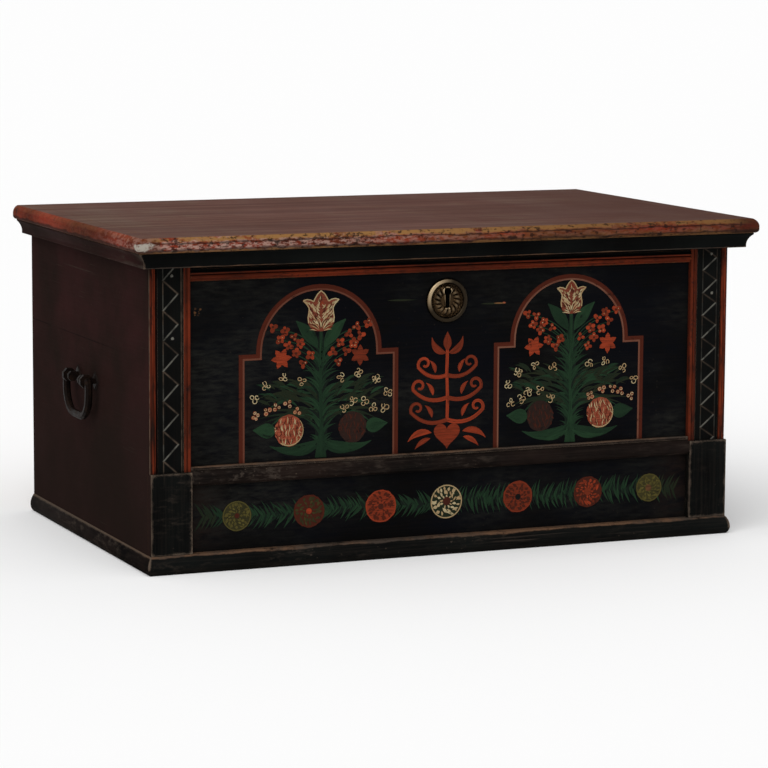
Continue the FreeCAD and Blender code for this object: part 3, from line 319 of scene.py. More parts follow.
def make_paint_age():
    """Blotches, flaked spots and long scratches of an old coat of paint."""
    tree, entry, leave = new_group("Paint Age", ["Blotches", "Flakes", "Scratches", "Specks"], Flaking=0.3)
    tree.links.new(span(tree, cloud(tree, entry["Vector"], 5, 6, 0.6), 0.3, 0.7), leave["Blotches"])
    spots = cloud(tree, entry["Vector"], 120, 4, 0.6)
    patches = cloud(tree, entry["Vector"], 9, 4, 0.6)
    level = calc(tree, "ADD", times(tree, spots, 0.6), times(tree, patches, 0.6))
    level = calc(tree, "ADD", level, times(tree, entry["Flaking"], 0.25))
    tree.links.new(span(tree, level, 0.8, 0.86), leave["Flakes"])
    fine = cloud(tree, stretched(tree, entry["Vector"], (5, 240, 240)), 1, 2)
    where = cloud(tree, entry["Vector"], 7, 3)
    scratched = times(tree, span(tree, fine, 0.66, 0.74), span(tree, where, 0.5, 0.66))
    tree.links.new(scratched, leave["Scratches"])
    cells = put(tree, "TexVoronoi", {"Vector": entry["Vector"], "Scale": 130.0}).outputs
    kept = span(tree, axes(tree, cells["Color"])[0], 0.7, 0.8)
    dots = times(tree, span(tree, cells["Distance"], 0.2, 0.06), kept)
    tree.links.new(times(tree, dots, span(tree, patches, 0.42, 0.6)), leave["Specks"])


def make_dirt_and_shade():
    """Darkening where pieces meet, found by occlusion: partly dirt that gathers there, partly painted shade
    in the corners.
    """
    tree, entry, leave = new_group("Dirt And Shade", ["Dirt And Shade"], Reach=0.02)
    near = put(tree, "AmbientOcclusion", {"Distance": entry["Reach"]}, samples=FEELERS)
    closed = calc(tree, "SUBTRACT", 1.0, near.outputs["AO"])
    uneven = span(tree, cloud(tree, entry["Vector"], 22, 5), 0.25, 0.7, 0.5, 1.0)
    tree.links.new(times(tree, span(tree, closed, 0.1, 0.8), uneven), leave["Dirt And Shade"])


def make_brush():
    """Bristle marks along each painted stroke, and where the coat is thin."""
    tree, entry, leave = new_group("Brush Marks", ["Bristles", "Thin", "Tone"])
    stroke = marked(tree, "stroke")
    tone = axes(tree, stroke)[2]
    bristles = cloud(tree, stretched(tree, stroke, (40, 420, 9)), 1, 3)
    tree.links.new(span(tree, bristles, 0.3, 0.7), leave["Bristles"])
    worn = cloud(tree, entry["Vector"], 70, 6, 0.65)
    tree.links.new(span(tree, calc(tree, "ADD", worn, times(tree, bristles, 0.35)), 0.78, 0.92),
                   leave["Thin"])
    tree.links.new(tone, leave["Tone"])


GRAIN_TURNS = {"X": (0, 0, 0), "Y": (0, 0, math.pi / 2), "Z": (0, math.pi / 2, 0)}


def new_material(name, shine):
    """A material with its Principled shader, and the place on the piece as it stands at rest."""
    material = bpy.data.materials.new(name)
    material.use_nodes = True
    tree = material.node_tree
    shader = tree.nodes["Principled BSDF"]
    shader.inputs["Specular IOR Level"].default_value = shine
    place = at_rest(tree)
    return material, tree, shader, place


def set_surface(tree, shader, base, rough, height, depth):
    """Connects colour, roughness and relief to the shader."""
    bump = put(tree, "Bump", {"Height": height, "Strength": 0.8, "Distance": depth})
    tree.links.new(base, shader.inputs["Base Color"])
    tree.links.new(rough, shader.inputs["Roughness"])
    tree.links.new(bump.outputs[0], shader.inputs["Normal"])


def painted_wood(name, coat, shade, under, wood, grain="X", reach=0.004, wear=0.45, flaking=0.2,
                 rough=0.5, shine=0.02, streaks=0.5, fibres=0.22, specks=0.0, masks=()):
    """Old paint on a board: uneven coat, flakes down to the undercoat, edges rubbed to the wood."""
    material, tree, shader, place = new_material(name, shine)
    along = put(tree, "Mapping", {"Vector": place, "Rotation": GRAIN_TURNS[grain]}).outputs[0]
    age = use_group(tree, "Paint Age", Vector=along, Flaking=flaking)
    lines = use_group(tree, "Wood Grain", Vector=along)
    worn = use_group(tree, "Edge Wear", Vector=along, Reach=reach, Amount=wear)["Wear"] if wear else 0.0
    dirt_and_shade = use_group(tree, "Dirt And Shade", Vector=place)["Dirt And Shade"]
    if wear:
        worn = times(tree, worn, span(tree, dirt_and_shade, 0.04, 0.2, 1.0, 0.0))
    base = mixed(tree, age["Blotches"], coat, shade)
    run = times(tree, span(tree, lines["Streaks"], 0.42, 0.72), streaks)
    base = mixed(tree, run, base, shade)
    fine = times(tree, span(tree, lines["Fibre"], 0.4, 0.7), fibres)
    base = mixed(tree, fine, base, under)
    base = mixed(tree, times(tree, age["Scratches"], 0.5), base, under)
    base = mixed(tree, times(tree, age["Flakes"], 0.8), base, under)
    for lay in masks:
        base = lay(tree, base)
    # Corners where pieces meet go dark: dirt, and painted shade
    base = mixed(tree, times(tree, dirt_and_shade, 0.6), base, PAINT_DIRT_AND_SHADE)
    base = mixed(tree, times(tree, age["Specks"], specks), base, wood)
    if wear:
        base = mixed(tree, span(tree, worn, 0.05, 0.5), base, under)
        bare = mixed(tree, lines["Streaks"], wood, under)
        base = mixed(tree, span(tree, worn, 0.45, 0.95), base, bare)
    gloss = calc(tree, "ADD", times(tree, age["Blotches"], 0.14), rough - 0.07)
    gloss = calc(tree, "ADD", gloss, times(tree, worn, 0.2))
    relief = times(tree, lines["Fibre"], 0.25)
    relief = calc(tree, "ADD", relief, times(tree, lines["Streaks"], 0.5))
    relief = calc(tree, "SUBTRACT", relief, times(tree, calc(tree, "ADD", worn, age["Flakes"]), 0.4))
    set_surface(tree, shader, base, gloss, relief, 0.6 * MM)
    return material


def bare_wood(name, wood, late, grain="X", across=2, joints=()):
    """Unpainted pine: rings, knots, fibres and old stains, each board with its own grain."""
    material, tree, shader, place = new_material(name, 0.04)
    along = put(tree, "Mapping", {"Vector": place, "Rotation": GRAIN_TURNS[grain]}).outputs[0]
    parts = axes(tree, place)
    for joint in joints:
        past = times(tree, calc(tree, "GREATER_THAN", parts[across], joint), 1.73)
        step = put(tree, "CombineXYZ", {0: past, 1: past, 2: past}).outputs[0]
        along = put(tree, "VectorMath", {0: along, 1: step}, operation="ADD").outputs[0]
    lines = use_group(tree, "Wood Grain", Vector=along)
    dirt_and_shade = use_group(tree, "Dirt And Shade", Vector=place)["Dirt And Shade"]
    tone = span(tree, cloud(tree, stretched(tree, along, (1.5, 7, 7)), 1, 3), 0.35, 0.7, 0.0, 0.4)
    base = mixed(tree, tone, wood, late)
    base = mixed(tree, times(tree, lines["Rings"], 0.5), base, late)
    base = mixed(tree, times(tree, lines["Fibre"], 0.4), base, late)
    base = mixed(tree, times(tree, lines["Knots"], 0.8), base, [0.35 * level for level in late])
    spots = span(tree, cloud(tree, along, 6, 6), 0.52, 0.75, 0.0, 0.4)
    base = mixed(tree, spots, base, late)
    # Corners where pieces meet go dark: dirt, and painted shade
    base = mixed(tree, times(tree, dirt_and_shade, 0.7), base, WOOD_DIRT_AND_SHADE)
    relief = calc(tree, "ADD", lines["Fibre"], times(tree, lines["Rings"], 0.5))
    rough = span(tree, lines["Streaks"], 0.2, 0.8, 0.62, 0.8)
    set_surface(tree, shader, base, rough, relief, 0.3 * MM)
    return material


def metal(name, bright, dull, rough, metallic, grain_size, shine=0.1, painted_highlight=None):
    """Hand-worked metal: hammered relief, tarnish in the hollows and rubbed edges; with a painted highlight,
    the crests on one side are painted bright and the rest of the rim darker as painted shade.
    """
    material, tree, shader, place = new_material(name, shine)
    shader.inputs["Metallic"].default_value = metallic
    hammer = cloud(tree, place, grain_size, 3)
    bloom = span(tree, cloud(tree, place, grain_size * 0.5, 7, 0.65), 0.45, 0.7)
    worn = use_group(tree, "Edge Wear", Vector=place, Reach=0.003, Amount=0.5)["Wear"]
    dirt_and_shade = use_group(tree, "Dirt And Shade", Vector=place, Reach=0.006)["Dirt And Shade"]
    base = mixed(tree, bloom, bright, dull)
    base = mixed(tree, dirt_and_shade, base, dull)
    base = mixed(tree, times(tree, worn, 0.3), base, [min(1, 2.2 * level) for level in bright])
    # Crests keep the metal and hollows tarnish; the crests on the highlight side get a painted highlight, and
    # the rest of the rim is painted darker as shade
    if painted_highlight:
        crest, handled_and_highlight, _ = axes(tree, marked(tree, "carve"))
        base = mixed(tree, span(tree, crest, 0.1, 0.6), dull, base)
        base = mixed(tree, span(tree, handled_and_highlight, 0.0, 0.6, 0.9, 0.0), base, dull)
        base = mixed(tree, times(tree, span(tree, crest, 0.55, 1.0), handled_and_highlight), base, painted_highlight)
    gloss = calc(tree, "ADD", times(tree, bloom, 0.25), rough)
    set_surface(tree, shader, base, gloss, hammer, 0.6 * MM)
    return material


def ornament_paint(name, coat, shade, ground, shine=0.04):
    """Brushed ornament: bristle marks, uneven tone, and thin places where the ground shows."""
    material, tree, shader, place = new_material(name, shine)
    marks = use_group(tree, "Brush Marks", Vector=place)
    base = mixed(tree, times(tree, marks["Bristles"], 0.6), coat, shade)
    base = mixed(tree, span(tree, marks["Tone"], 0.0, 1.0, 0.0, 0.6), base, shade)
    base = mixed(tree, times(tree, marks["Thin"], 0.8), base, ground)
    rough = span(tree, marks["Bristles"], 0.0, 1.0, 0.5, 0.62)
    set_surface(tree, shader, base, rough, marks["Bristles"], 0.15 * MM)
    return material


def mask(make):
    """Lets a mask take its paints and settings first, and the finish that it is laid on later."""
    def ready(*settings):
        return lambda tree, base: make(tree, base, *settings)
    return ready


def place_and_axes(tree):
    """The place on a piece as it stands at rest, and its three parts."""
    place = at_rest(tree)
    return place, axes(tree, place)


def ragged(tree, place, scale):
    """Rough noise from 0 to 1, scaled along each axis."""
    return cloud(tree, stretched(tree, place, scale), 1, RAGGED_DETAIL, RAGGED_ROUGHNESS)


def wavered(tree, value, place, scale, reach):
    """A value that noise sways by up to half of reach either way."""
    sway = calc(tree, "SUBTRACT", ragged(tree, place, scale), 0.5)
    return calc(tree, "ADD", value, times(tree, sway, reach))


def patchy(tree, place, scale, low, high, most=1.0):
    """Broken patches of a given length along each axis, from 0 to most."""
    return span(tree, ragged(tree, place, scale), low, high, 0.0, most)


@mask
def nosing_bands(tree, base, paint):
    """Broken bare lines along the arrises of the lid's edge, with scuffs, brown places and pits between, a
    painted shadow along the lower edge and painted shade towards the right end.
    """
    place, (across, along, height) = place_and_axes(tree)
    out = calc(tree, "ABSOLUTE", across)
    front = span(tree, out, LID_END - 6 * MM, LID_END - 60 * MM, 0.1, 1.0)
    level = wavered(tree, height, place, NOSING_WAVER, 14 * MM)
    browned = times(tree, patchy(tree, place, (6, 6, 30), 0.36, 0.6),
                    span(tree, across, -0.5 * LID_END, 0.6 * LID_END, 0.15, 0.9))
    base = mixed(tree, browned, base, paint.pine_dark)
    handled_and_highlight = span(tree, across, 0.3 * LID_END, -0.75 * LID_END, 0.1, 1.0)
    corner = span(tree, along, LID_FRONT + 260 * MM, LID_FRONT + 30 * MM, 0.05, 0.4)
    handled_and_highlight = times(tree, handled_and_highlight, calc(tree, "MAXIMUM", span(tree, front, 0.1, 1.0), corner))
    scuffs = times(tree, patchy(tree, place, (70, 70, 190), 0.44, 0.56), handled_and_highlight)
    base = mixed(tree, scuffs, base, paint.scuff)
    # Painted shadow along the lower edge
    shadow = span(tree, level, LID_UNDER + 9 * MM, LID_UNDER + 5 * MM, 0.0, 0.75)
    base = mixed(tree, shadow, base, paint.umber)
    upper = span(tree, level, LID_TOP - 9 * MM, LID_TOP - 5 * MM)
    broken = times(tree, patchy(tree, place, (16, 16, 16), 0.37, 0.5), front)
    aged = span(tree, across, -0.3 * LID_END, 0.6 * LID_END, 0.0, 0.65)
    bare = mixed(tree, aged, paint.tan, paint.pine_dark)
    base = mixed(tree, times(tree, upper, broken), base, bare)
    seam = times(tree, span(tree, level, LID_TOP - 12 * MM, LID_TOP - 9.5 * MM),
                 span(tree, level, LID_TOP - 7 * MM, LID_TOP - 9.5 * MM, 0.0, 0.8))
    base = mixed(tree, times(tree, seam, front), base, paint.umber)
    lower = span(tree, level, LID_UNDER + 4.5 * MM, LID_UNDER + 2.5 * MM, 0.0, 0.55)
    lower = times(tree, lower, patchy(tree, place, (20, 20, 8), 0.36, 0.5))
    base = mixed(tree, times(tree, lower, front), base, bare)
    pits = times(tree, patchy(tree, place, (85, 85, 140), 0.53, 0.6, 0.85),
                 span(tree, front, 0.1, 1.0, 0.35, 1.0))
    base = mixed(tree, pits, base, paint.umber)
    # Painted shade: darker towards the right end, away from the key light
    far = span(tree, across, LID_END - 90 * MM, LID_END - 10 * MM, 0.0, 0.65)
    base = mixed(tree, far, base, paint.umber)
    flat = stretched(tree, place, CHIP_STRETCH)
    broken_off = put(tree, "VectorMath", {0: flat, 1: [a * b for a, b in zip(CHIP_STRETCH, CHIP)]},
                     operation="DISTANCE").outputs["Value"]
    chipped = wavered(tree, broken_off, place, NOSING_WAVER, 34 * MM)
    chipped = times(tree, span(tree, chipped, 12 * MM, 7 * MM),
                    patchy(tree, place, (90, 90, 90), 0.36, 0.5))
    return mixed(tree, chipped, base, paint.gesso)


@mask
def worn_ledge(tree, base, paint, edge, depth, most=1.0):
    """Paint rubbed off below an edge of a moulding, or above it where the depth is under zero."""
    place, (_, along, height) = place_and_axes(tree)
    level = wavered(tree, height, place, (16, 16, 40), 2.4 * depth)
    worn = times(tree, span(tree, level, edge - depth, edge - 0.5 * depth),
                 patchy(tree, place, (26, 26, 26), 0.3, 0.5, most))
    worn = times(tree, worn, span(tree, along, 0.0, 0.6 * BACK_Y, 1.0, 0.25))
    facing = axes(tree, put(tree, "TexCoord").outputs["Normal"])[2]
    worn = times(tree, worn, span(tree, facing, -0.8, -0.3))
    tint = mixed(tree, patchy(tree, place, (7, 7, 7), 0.4, 0.6), paint.dust, paint.rubbed)
    return mixed(tree, worn, base, tint)


@mask
def worn_end(tree, base, paint):
    """Paint rubbed grey towards the front end of a moulding on the side."""
    place, (_, along, _) = place_and_axes(tree)
    near = span(tree, along, LID_FRONT + 240 * MM, LID_FRONT + 40 * MM)
    worn = times(tree, near, patchy(tree, place, (14, 8, 50), 0.42, 0.62, 0.8))
    return mixed(tree, worn, base, paint.dust)


@mask
def scuffed_face(tree, base, paint, most):
    """Greyish scuffs that follow the length of a moulding, fewer towards the right, which paints the right
    darker as shade.
    """
    place, (across, _, _) = place_and_axes(tree)
    where = patchy(tree, place, (4, 4, 9), 0.42, 0.62)
    # Fewer scuffs towards the right: painted shade on the side away from the key light
    where = times(tree, where, span(tree, across, 0.7 * PANEL_HALF, -0.4 * PANEL_HALF, 0.3, 1.0))
    scuffs = times(tree, patchy(tree, place, (34, 34, 110), 0.48, 0.66, most), where)
    return mixed(tree, scuffs, base, paint.dust)


@mask
def front_haze(tree, base, paint):
    """Grey bloom, blue-black places and brown worn ends of the front paint."""
    place, (across, _, height) = place_and_axes(tree)
    base = mixed(tree, patchy(tree, place, (9, 9, 16), 0.48, 0.64, 0.6), base, paint.ink)
    out = calc(tree, "ABSOLUTE", across)
    low = span(tree, height, FRIEZE_HIGH + 20 * MM, FRIEZE_HIGH)
    ends = times(tree, span(tree, out, 0.8 * PANEL_HALF, PANEL_HALF), low)
    ends = times(tree, ends, patchy(tree, place, (14, 14, 40), 0.36, 0.6, 0.8))
    base = mixed(tree, ends, base, paint.umber)
    bloom = calc(tree, "ADD", cloud(tree, stretched(tree, place, (4, 4, 7)), 1, 4),
                 span(tree, across, 0.0, -PANEL_HALF, 0.0, 0.14))
    bloom = times(tree, span(tree, bloom, 0.45, 0.8), patchy(tree, place, (30, 30, 120), 0.3, 0.75))
    return mixed(tree, bloom, base, paint.haze)


@mask
def lid_painted_shade_and_sheen(tree, base, paint):
    """The lid's paint turns darker and redder towards the right as painted shade, paler and greyer towards
    the left with pale patches as a painted sheen, with long worn lines and dark joints.
    """
    place, parts = place_and_axes(tree)
    across = parts[0]
    # Painted shade: darker towards the right
    darker = span(tree, across, 0.0, LID_END, 0.0, 1.0)
    base = mixed(tree, darker, base, paint.oxblood_dark)
    # Painted sheen: paler and greyer towards the left
    painted_sheen = span(tree, across, -0.2 * LID_END, -LID_END, 0.0, 0.2)
    base = mixed(tree, painted_sheen, base, paint.pale)
    # Painted sheen: pale patches that run front to back, most on the left
    sheen_patches = times(tree, patchy(tree, place, (5, 2, 1), 0.47, 0.66, 0.55),
                   span(tree, across, 0.0, 0.8 * LID_END, 1.0, 0.3))
    base = mixed(tree, sheen_patches, base, paint.pale)
    base = mixed(tree, patchy(tree, place, (3, 5, 1), 0.4, 0.66, 0.4), base, paint.oxblood_dark)
    base = mixed(tree, patchy(tree, place, (1.2, 30, 1), 0.44, 0.6, 0.75), base, paint.oxblood_dark)
    base = mixed(tree, patchy(tree, place, (2.0, 80, 1), 0.44, 0.6, 0.65), base, paint.oxblood_dark)
    for axis, joint in LID_JOINTS:
        near = close_to(tree, parts[axis], joint, 0.7 * MM)
        near = times(tree, near, patchy(tree, place, (6, 6, 1), 0.35, 0.6, 0.4))
        base = mixed(tree, near, base, paint.soot)
    return base


@mask
def scored(tree, base, paint, inner, lines):
    """Dark lines scored down an upright strip, counted out from its inner edge."""
    place, (across, _, _) = place_and_axes(tree)
    out = calc(tree, "ABSOLUTE", across)
    for line in lines:
        near = close_to(tree, out, inner + line, 0.9 * MM)
        base = mixed(tree, times(tree, near, 0.6), base, paint.umber)
    return mixed(tree, patchy(tree, place, (120, 120, 22), 0.52, 0.64, 0.75), base, paint.umber)


@mask
def strip_painted_shadow(tree, base, paint):
    """The top strip is black along its upper part as a painted shadow of the lid's skirt, with a dark line of
    painted shade between its reeds.
    """
    place, (_, _, height) = place_and_axes(tree)
    level = wavered(tree, height, place, (30, 30, 30), 1.5 * MM)
    base = mixed(tree, patchy(tree, place, (40, 40, 160), 0.48, 0.64, 0.6), base, paint.umber)
    # Painted shade between the reeds
    between = close_to(tree, height, STRIP_MIDDLE, 0.9 * MM)
    base = mixed(tree, times(tree, between, 0.7), base, paint.night)
    # Painted shadow of the lid's skirt along the strip's upper part
    return mixed(tree, span(tree, level, STRIP_TOP - 8 * MM, STRIP_TOP - 7 * MM), base, paint.night)


@mask
def side_shade(tree, base, paint):
    """The side paint turns duller towards the floor and in wide soft clouds."""
    place, (_, _, height) = place_and_axes(tree)
    low = span(tree, height, 0.75 * LID_UNDER, 0.15 * LID_UNDER, 0.0, 0.7)
    base = mixed(tree, low, base, paint.umber)
    base = mixed(tree, patchy(tree, place, (3, 3, 4), 0.45, 0.7, 0.3), base, paint.umber)
    gap = close_to(tree, height, SIDE_JOINT, 0.9 * MM)
    return mixed(tree, times(tree, gap, patchy(tree, place, (5, 5, 1), 0.4, 0.6, 0.6)), base, paint.night)


@mask
def carved_colours(tree, base, paint):
    """Red on the bead and pale rubbed grooves, by the carving's own marks; the zigzag's rising strokes and
    the pins take the lighter tint, which on the strokes is a painted highlight.
    """
    red, groove, bright = axes(tree, marked(tree, "carve"))
    place = at_rest(tree)
    streaks = cloud(tree, stretched(tree, place, (300, 300, 8)), 1, 3)
    coat = mixed(tree, span(tree, streaks, 0.35, 0.65), paint.sealing, paint.sealing_dark)
    coat = mixed(tree, patchy(tree, place, (130, 130, 18), 0.48, 0.62, 0.85), coat, paint.umber)
    base = mixed(tree, red, base, coat)
    rubbed = span(tree, cloud(tree, place, 60, 5), 0.3, 0.6, 0.3, 1.0)
    # The lighter tint: pale pins, and a painted highlight on the rising zigzag strokes
    tint = mixed(tree, bright, paint.pale, paint.chalk_and_highlight)
    return mixed(tree, times(tree, groove, rubbed), base, tint)


# Finishes of the frame's own pieces

# Eased edges of mouldings, boards and blocks, how near points are joined first, and what counts as an edge
MOULDING_EASE = 0.8 * MM
BOARD_EASE = 1.0 * MM
BLOCK_EASE = 1.2 * MM
JOIN_REACH = 0.02 * MM
EDGE_ANGLE = math.radians(40)

# How far off a plane of the trunk a face may lie and still be on it
ON_PLANE = 0.6 * MM


def paint_faces(mesh, rules):
    """Gives each face of a mesh the first material whose test it passes."""
    mesh.materials.clear()
    for material, _ in rules:
        mesh.materials.append(material)
    for face in mesh.polygons:
        for number, (_, test) in enumerate(rules):
            if test(face.center, face.normal):
                face.material_index = number
                break


def finish_faces(node, rules, soften=0.0):
    """Paints the faces of a node by rules, and eases its edges."""
    piece = NODES[node]
    paint_faces(piece.data, rules)
    if soften:
        weld = piece.modifiers.new("join", "WELD")
        weld.merge_threshold = JOIN_REACH
        bevel = piece.modifiers.new("ease", "BEVEL")
        bevel.width = soften
        bevel.segments = 2
        bevel.limit_method = "ANGLE"
        bevel.angle_limit = EDGE_ANGLE
        bevel.use_clamp_overlap = True
        bevel.harden_normals = True


def everywhere(place, normal):
    """Any face."""
    return True


def outside(axis, plane):
    """Faces that lie on an outer plane of the trunk."""
    return lambda place, normal: abs(place[axis] - plane) < ON_PLANE


def facing_end(side):
    """Faces that look out towards one end of the trunk."""
    return lambda place, normal: side * normal.x > 0.9


def side_finish(paint):
    """The warm dark paint of the trunk's ends, made once and shared."""
    if "side_paint" in bpy.data.materials:
        return bpy.data.materials["side_paint"]
    return painted_wood("side_paint", paint.soot, paint.umber, paint.dust, paint.pale, "Y", wear=0.0,
                        flaking=0.0, shine=0.0005, rough=0.5, streaks=0.15, fibres=0.05, specks=0.1,
                        masks=[side_shade(paint)])


# Bare boards: name, way of the grain, the axis they are laid along, and the boards that begin at a joint
BARE_BOARDS = (
    ("front", "X", 2, ("front_board_upper",)),
    ("back", "X", 2, ("back_board_upper",)),
    ("side", "Y", 2, ("right_side_board_upper",)),
    ("bottom", "X", 1, ("bottom_board_middle", "bottom_board_rear")),
    ("lid", "X", 1, ("lid_board_middle", "lid_board_rear")),
    ("cleat", "Y", 0, ("lid_cleat_right",)),
    ("till", "Y", 2, ("till_front",)),
)


class TRUNK_OT_boards(bpy.types.Operator):
    """Paints the boards outside and leaves them bare inside and behind."""

    bl_idname = "trunk.boards"
    bl_label = "Boards"

    def execute(self, context):
        paint = context.scene.trunk_colours
        front = painted_wood("front_paint", paint.night, paint.ink, paint.umber, paint.pale, "X", wear=0.0,
                             flaking=0.05, shine=0.008, rough=0.55, streaks=0.2, fibres=0.12, specks=0.08,
                             masks=[front_haze(paint)])
        side = side_finish(paint)
        lid, cleat = (
            painted_wood(name, paint.oxblood, paint.oxblood, paint.sealing_dark, paint.tan, grain, wear=0.1,
                         flaking=0.1, shine=0.002, rough=0.6, streaks=streaks, masks=[lid_painted_shade_and_sheen(paint)])
            for name, grain, streaks in (("lid_paint", "X", 0.8), ("cleat_paint", "Y", 0.6)))
        nosing, end_nosing = (
            painted_wood(name, paint.nosing, paint.sealing_dark, paint.soot, paint.tan, grain, wear=0.0,
                         flaking=flaking, shine=shine, masks=[nosing_bands(paint)])
            for name, grain, flaking, shine in (("nosing_paint", "X", 0.4, 0.006),
                                                ("end_nosing_paint", "Y", 0.3, 0.003)))
        pine = {}
        for name, grain, axis, nodes in BARE_BOARDS:
            joints = [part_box(node)[0][axis] for node in nodes]
            pine[name] = bare_wood("pine_" + name, paint.pine, paint.pine_dark, grain, axis, joints)
        lock_low, lock_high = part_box("escutcheon")
        in_keyhole = lambda place, normal: (lock_low.x < place.x < lock_high.x
                                            and lock_low.z < place.z < lock_high.z and abs(normal.y) < 0.5)
        for level in ("lower", "upper"):
            finish_faces("front_board_" + level,
                         [(front, outside(1, PANEL_Y)), (front, in_keyhole), (pine["front"], everywhere)])
            finish_faces("back_board_" + level, [(pine["back"], everywhere)], BOARD_EASE)
            for sign, side_name in SIDES:
                finish_faces(side_name + "_side_board_" + level,
                             [(side, outside(0, sign * SIDE_X)), (pine["side"], everywhere)])
        for row in ("front", "middle", "rear"):
            finish_faces("bottom_board_" + row, [(pine["bottom"], everywhere)], BOARD_EASE)
        for node in ("till_front", "till_bottom"):
            finish_faces(node, [(pine["till"], everywhere)], BOARD_EASE)
        above = lambda place, normal: normal.z > 0.9 and place.z > LID_TOP - 1.0 * MM
        under = lambda place, normal: normal.z < -0.9
        behind = lambda place, normal: normal.y > 0.5
        for row in ("front", "middle", "rear"):
            finish_faces("lid_board_" + row,
                         [(lid, above), (lid, behind), (pine["lid"], under), (nosing, everywhere)])
        for side_name in ("left", "right"):
            finish_faces("lid_cleat_" + side_name,
                         [(cleat, above), (cleat, behind), (pine["cleat"], under), (end_nosing, everywhere)])
        finish_faces("lid_pegs", [(cleat, above), (pine["lid"], everywhere)])
        return {"FINISHED"}


class TRUNK_OT_mouldings(bpy.types.Operator):
    """Paints the applied mouldings, blocks and strips, with rubbed edges."""

    bl_idname = "trunk.mouldings"
    bl_label = "Mouldings"

    def execute(self, context):
        paint = context.scene.trunk_colours
        rail = painted_wood("rail_paint", paint.night, paint.umber, paint.dust, paint.pale, "X", reach=0.005,
                            wear=0.3, flaking=0.2, shine=0.01, fibres=0.12, specks=0.45,
                            masks=[scuffed_face(paint, 0.9), worn_ledge(paint, PANEL_LOW, 2.5 * MM)])
        base = painted_wood("base_paint", paint.night, paint.bog, paint.dust, paint.pale, "X", reach=0.004,
                            wear=0.4, flaking=0.2, shine=0.008, fibres=0.1, specks=0.3,
                            masks=[scuffed_face(paint, 0.6), worn_ledge(paint, FRIEZE_LOW, 4 * MM)])
        skirt = painted_wood("skirt_paint", paint.night, paint.bog, paint.umber, paint.pale, "X", reach=0.003,
                             wear=0.1, flaking=0.0, shine=0.003, fibres=0.05,
                             masks=[worn_ledge(paint, SKIRT_LOW, -2.2 * MM, 0.8)])
        block = painted_wood("block_paint", paint.night, paint.bog, paint.dust, paint.pale, "Z", reach=0.008,
                             wear=0.42, flaking=0.1, shine=0.004, fibres=0.1, specks=0.2,
                             masks=[scuffed_face(paint, 0.5)])
        side = side_finish(paint)
        side_base = painted_wood("side_base_paint", paint.umber, paint.night, paint.dust, paint.pale, "Y",
                                 reach=0.004, wear=0.08, flaking=0.2, shine=0.002, fibres=0.1, specks=0.4,
                                 masks=[scuffed_face(paint, 0.7), worn_ledge(paint, FRIEZE_LOW, 3 * MM, 0.8)])
        side_skirt = painted_wood("side_skirt_paint", paint.soot, paint.umber, paint.dust, paint.pale, "Y",
                                  reach=0.003, wear=0.22, flaking=0.1, shine=0.001, fibres=0.08, specks=0.5,
                                  masks=[worn_end(paint)])
        strip = painted_wood("strip_paint", paint.sealing, paint.sealing_dark, paint.soot, paint.tan, "Z",
                             reach=0.003, wear=0.25, flaking=0.35, shine=0.012, streaks=0.7,
                             masks=[scored(paint, PANEL_HALF, (9.5 * MM,))])
        # The top strip's coat is the darker red: its own aged paint, and partly painted shade under the lid
        top_strip = painted_wood("top_strip_paint", paint.sealing_dark, paint.sealing, paint.soot, paint.tan,
                                 "X", reach=0.003, wear=0.1, flaking=0.35, shine=0.006, streaks=0.2,
                                 masks=[strip_painted_shadow(paint)])
        finish_faces("middle_rail", [(rail, everywhere)], MOULDING_EASE)
        finish_faces("base_moulding_front", [(base, everywhere)], MOULDING_EASE)
        finish_faces("lid_skirt_front", [(skirt, everywhere)], MOULDING_EASE)
        for sign, side_name in SIDES:
            finish_faces("base_moulding_" + side_name, [(side_base, everywhere)], MOULDING_EASE)
            finish_faces("lid_skirt_" + side_name, [(side_skirt, everywhere)], MOULDING_EASE)
            finish_faces("plinth_block_" + side_name, [(side, facing_end(sign)), (block, everywhere)],
                         BLOCK_EASE)
            finish_faces("panel_frame_" + side_name, [(strip, everywhere)])
        finish_faces("panel_frame_top", [(top_strip, everywhere)])
        return {"FINISHED"}


class TRUNK_OT_ironwork(bpy.types.Operator):
    """Finishes hinges, lock and handles as forged iron."""

    bl_idname = "trunk.ironwork"
    bl_label = "Ironwork"

    def execute(self, context):
        paint = context.scene.trunk_colours
        iron = metal("forged_iron", paint.iron, paint.rust, 0.4, 0.05, 160, 0.02)
        for node in NODES:
            if node.startswith(("hinge_", "lock_", "hasp_", "handle_")):
                finish_faces(node, [(iron, everywhere)])
        return {"FINISHED"}


# Painted ornament

def arc(centre, radius, start, end, steps):
    """Points on a circle, in x and z, from one angle to another in degrees."""
    turns = [math.radians(start + (end - start) * step / steps) for step in range(steps + 1)]
    return [Vector((centre[0] + radius * math.cos(turn), centre[1] + radius * math.sin(turn)))
            for turn in turns]


def bent(start, end, bend, steps=8):
    """A curved run from start to end that swings out to its left by bend, as a share of its length."""
    start, end = Vector(start), Vector(end)
    run = end - start
    middle = (start + end) / 2 + 2 * bend * Vector((-run.y, run.x))
    shares = [step / steps for step in range(steps + 1)]
    return [(1 - t) ** 2 * start + 2 * t * (1 - t) * middle + t ** 2 * end for t in shares]


def edges_of(path, widths, closed=False):
    """The left and right edges of a line of varying width along a path."""
    count = len(path)
    lefts, rights = [], []
    for number, point in enumerate(path):
        before = path[number - 1] if number or closed else point
        after = path[(number + 1) % count] if number < count - 1 or closed else point
        first = (point - before).normalized() if point != before else (after - point).normalized()
        second = (after - point).normalized() if after != point else first
        along = (first + second).normalized()
        mitre = 1 / max(0.5, along.dot(first))
        side = Vector((-along.y, along.x)) * mitre * widths[number] / 2
        lefts.append(point + side)
        rights.append(point - side)
    return lefts, rights


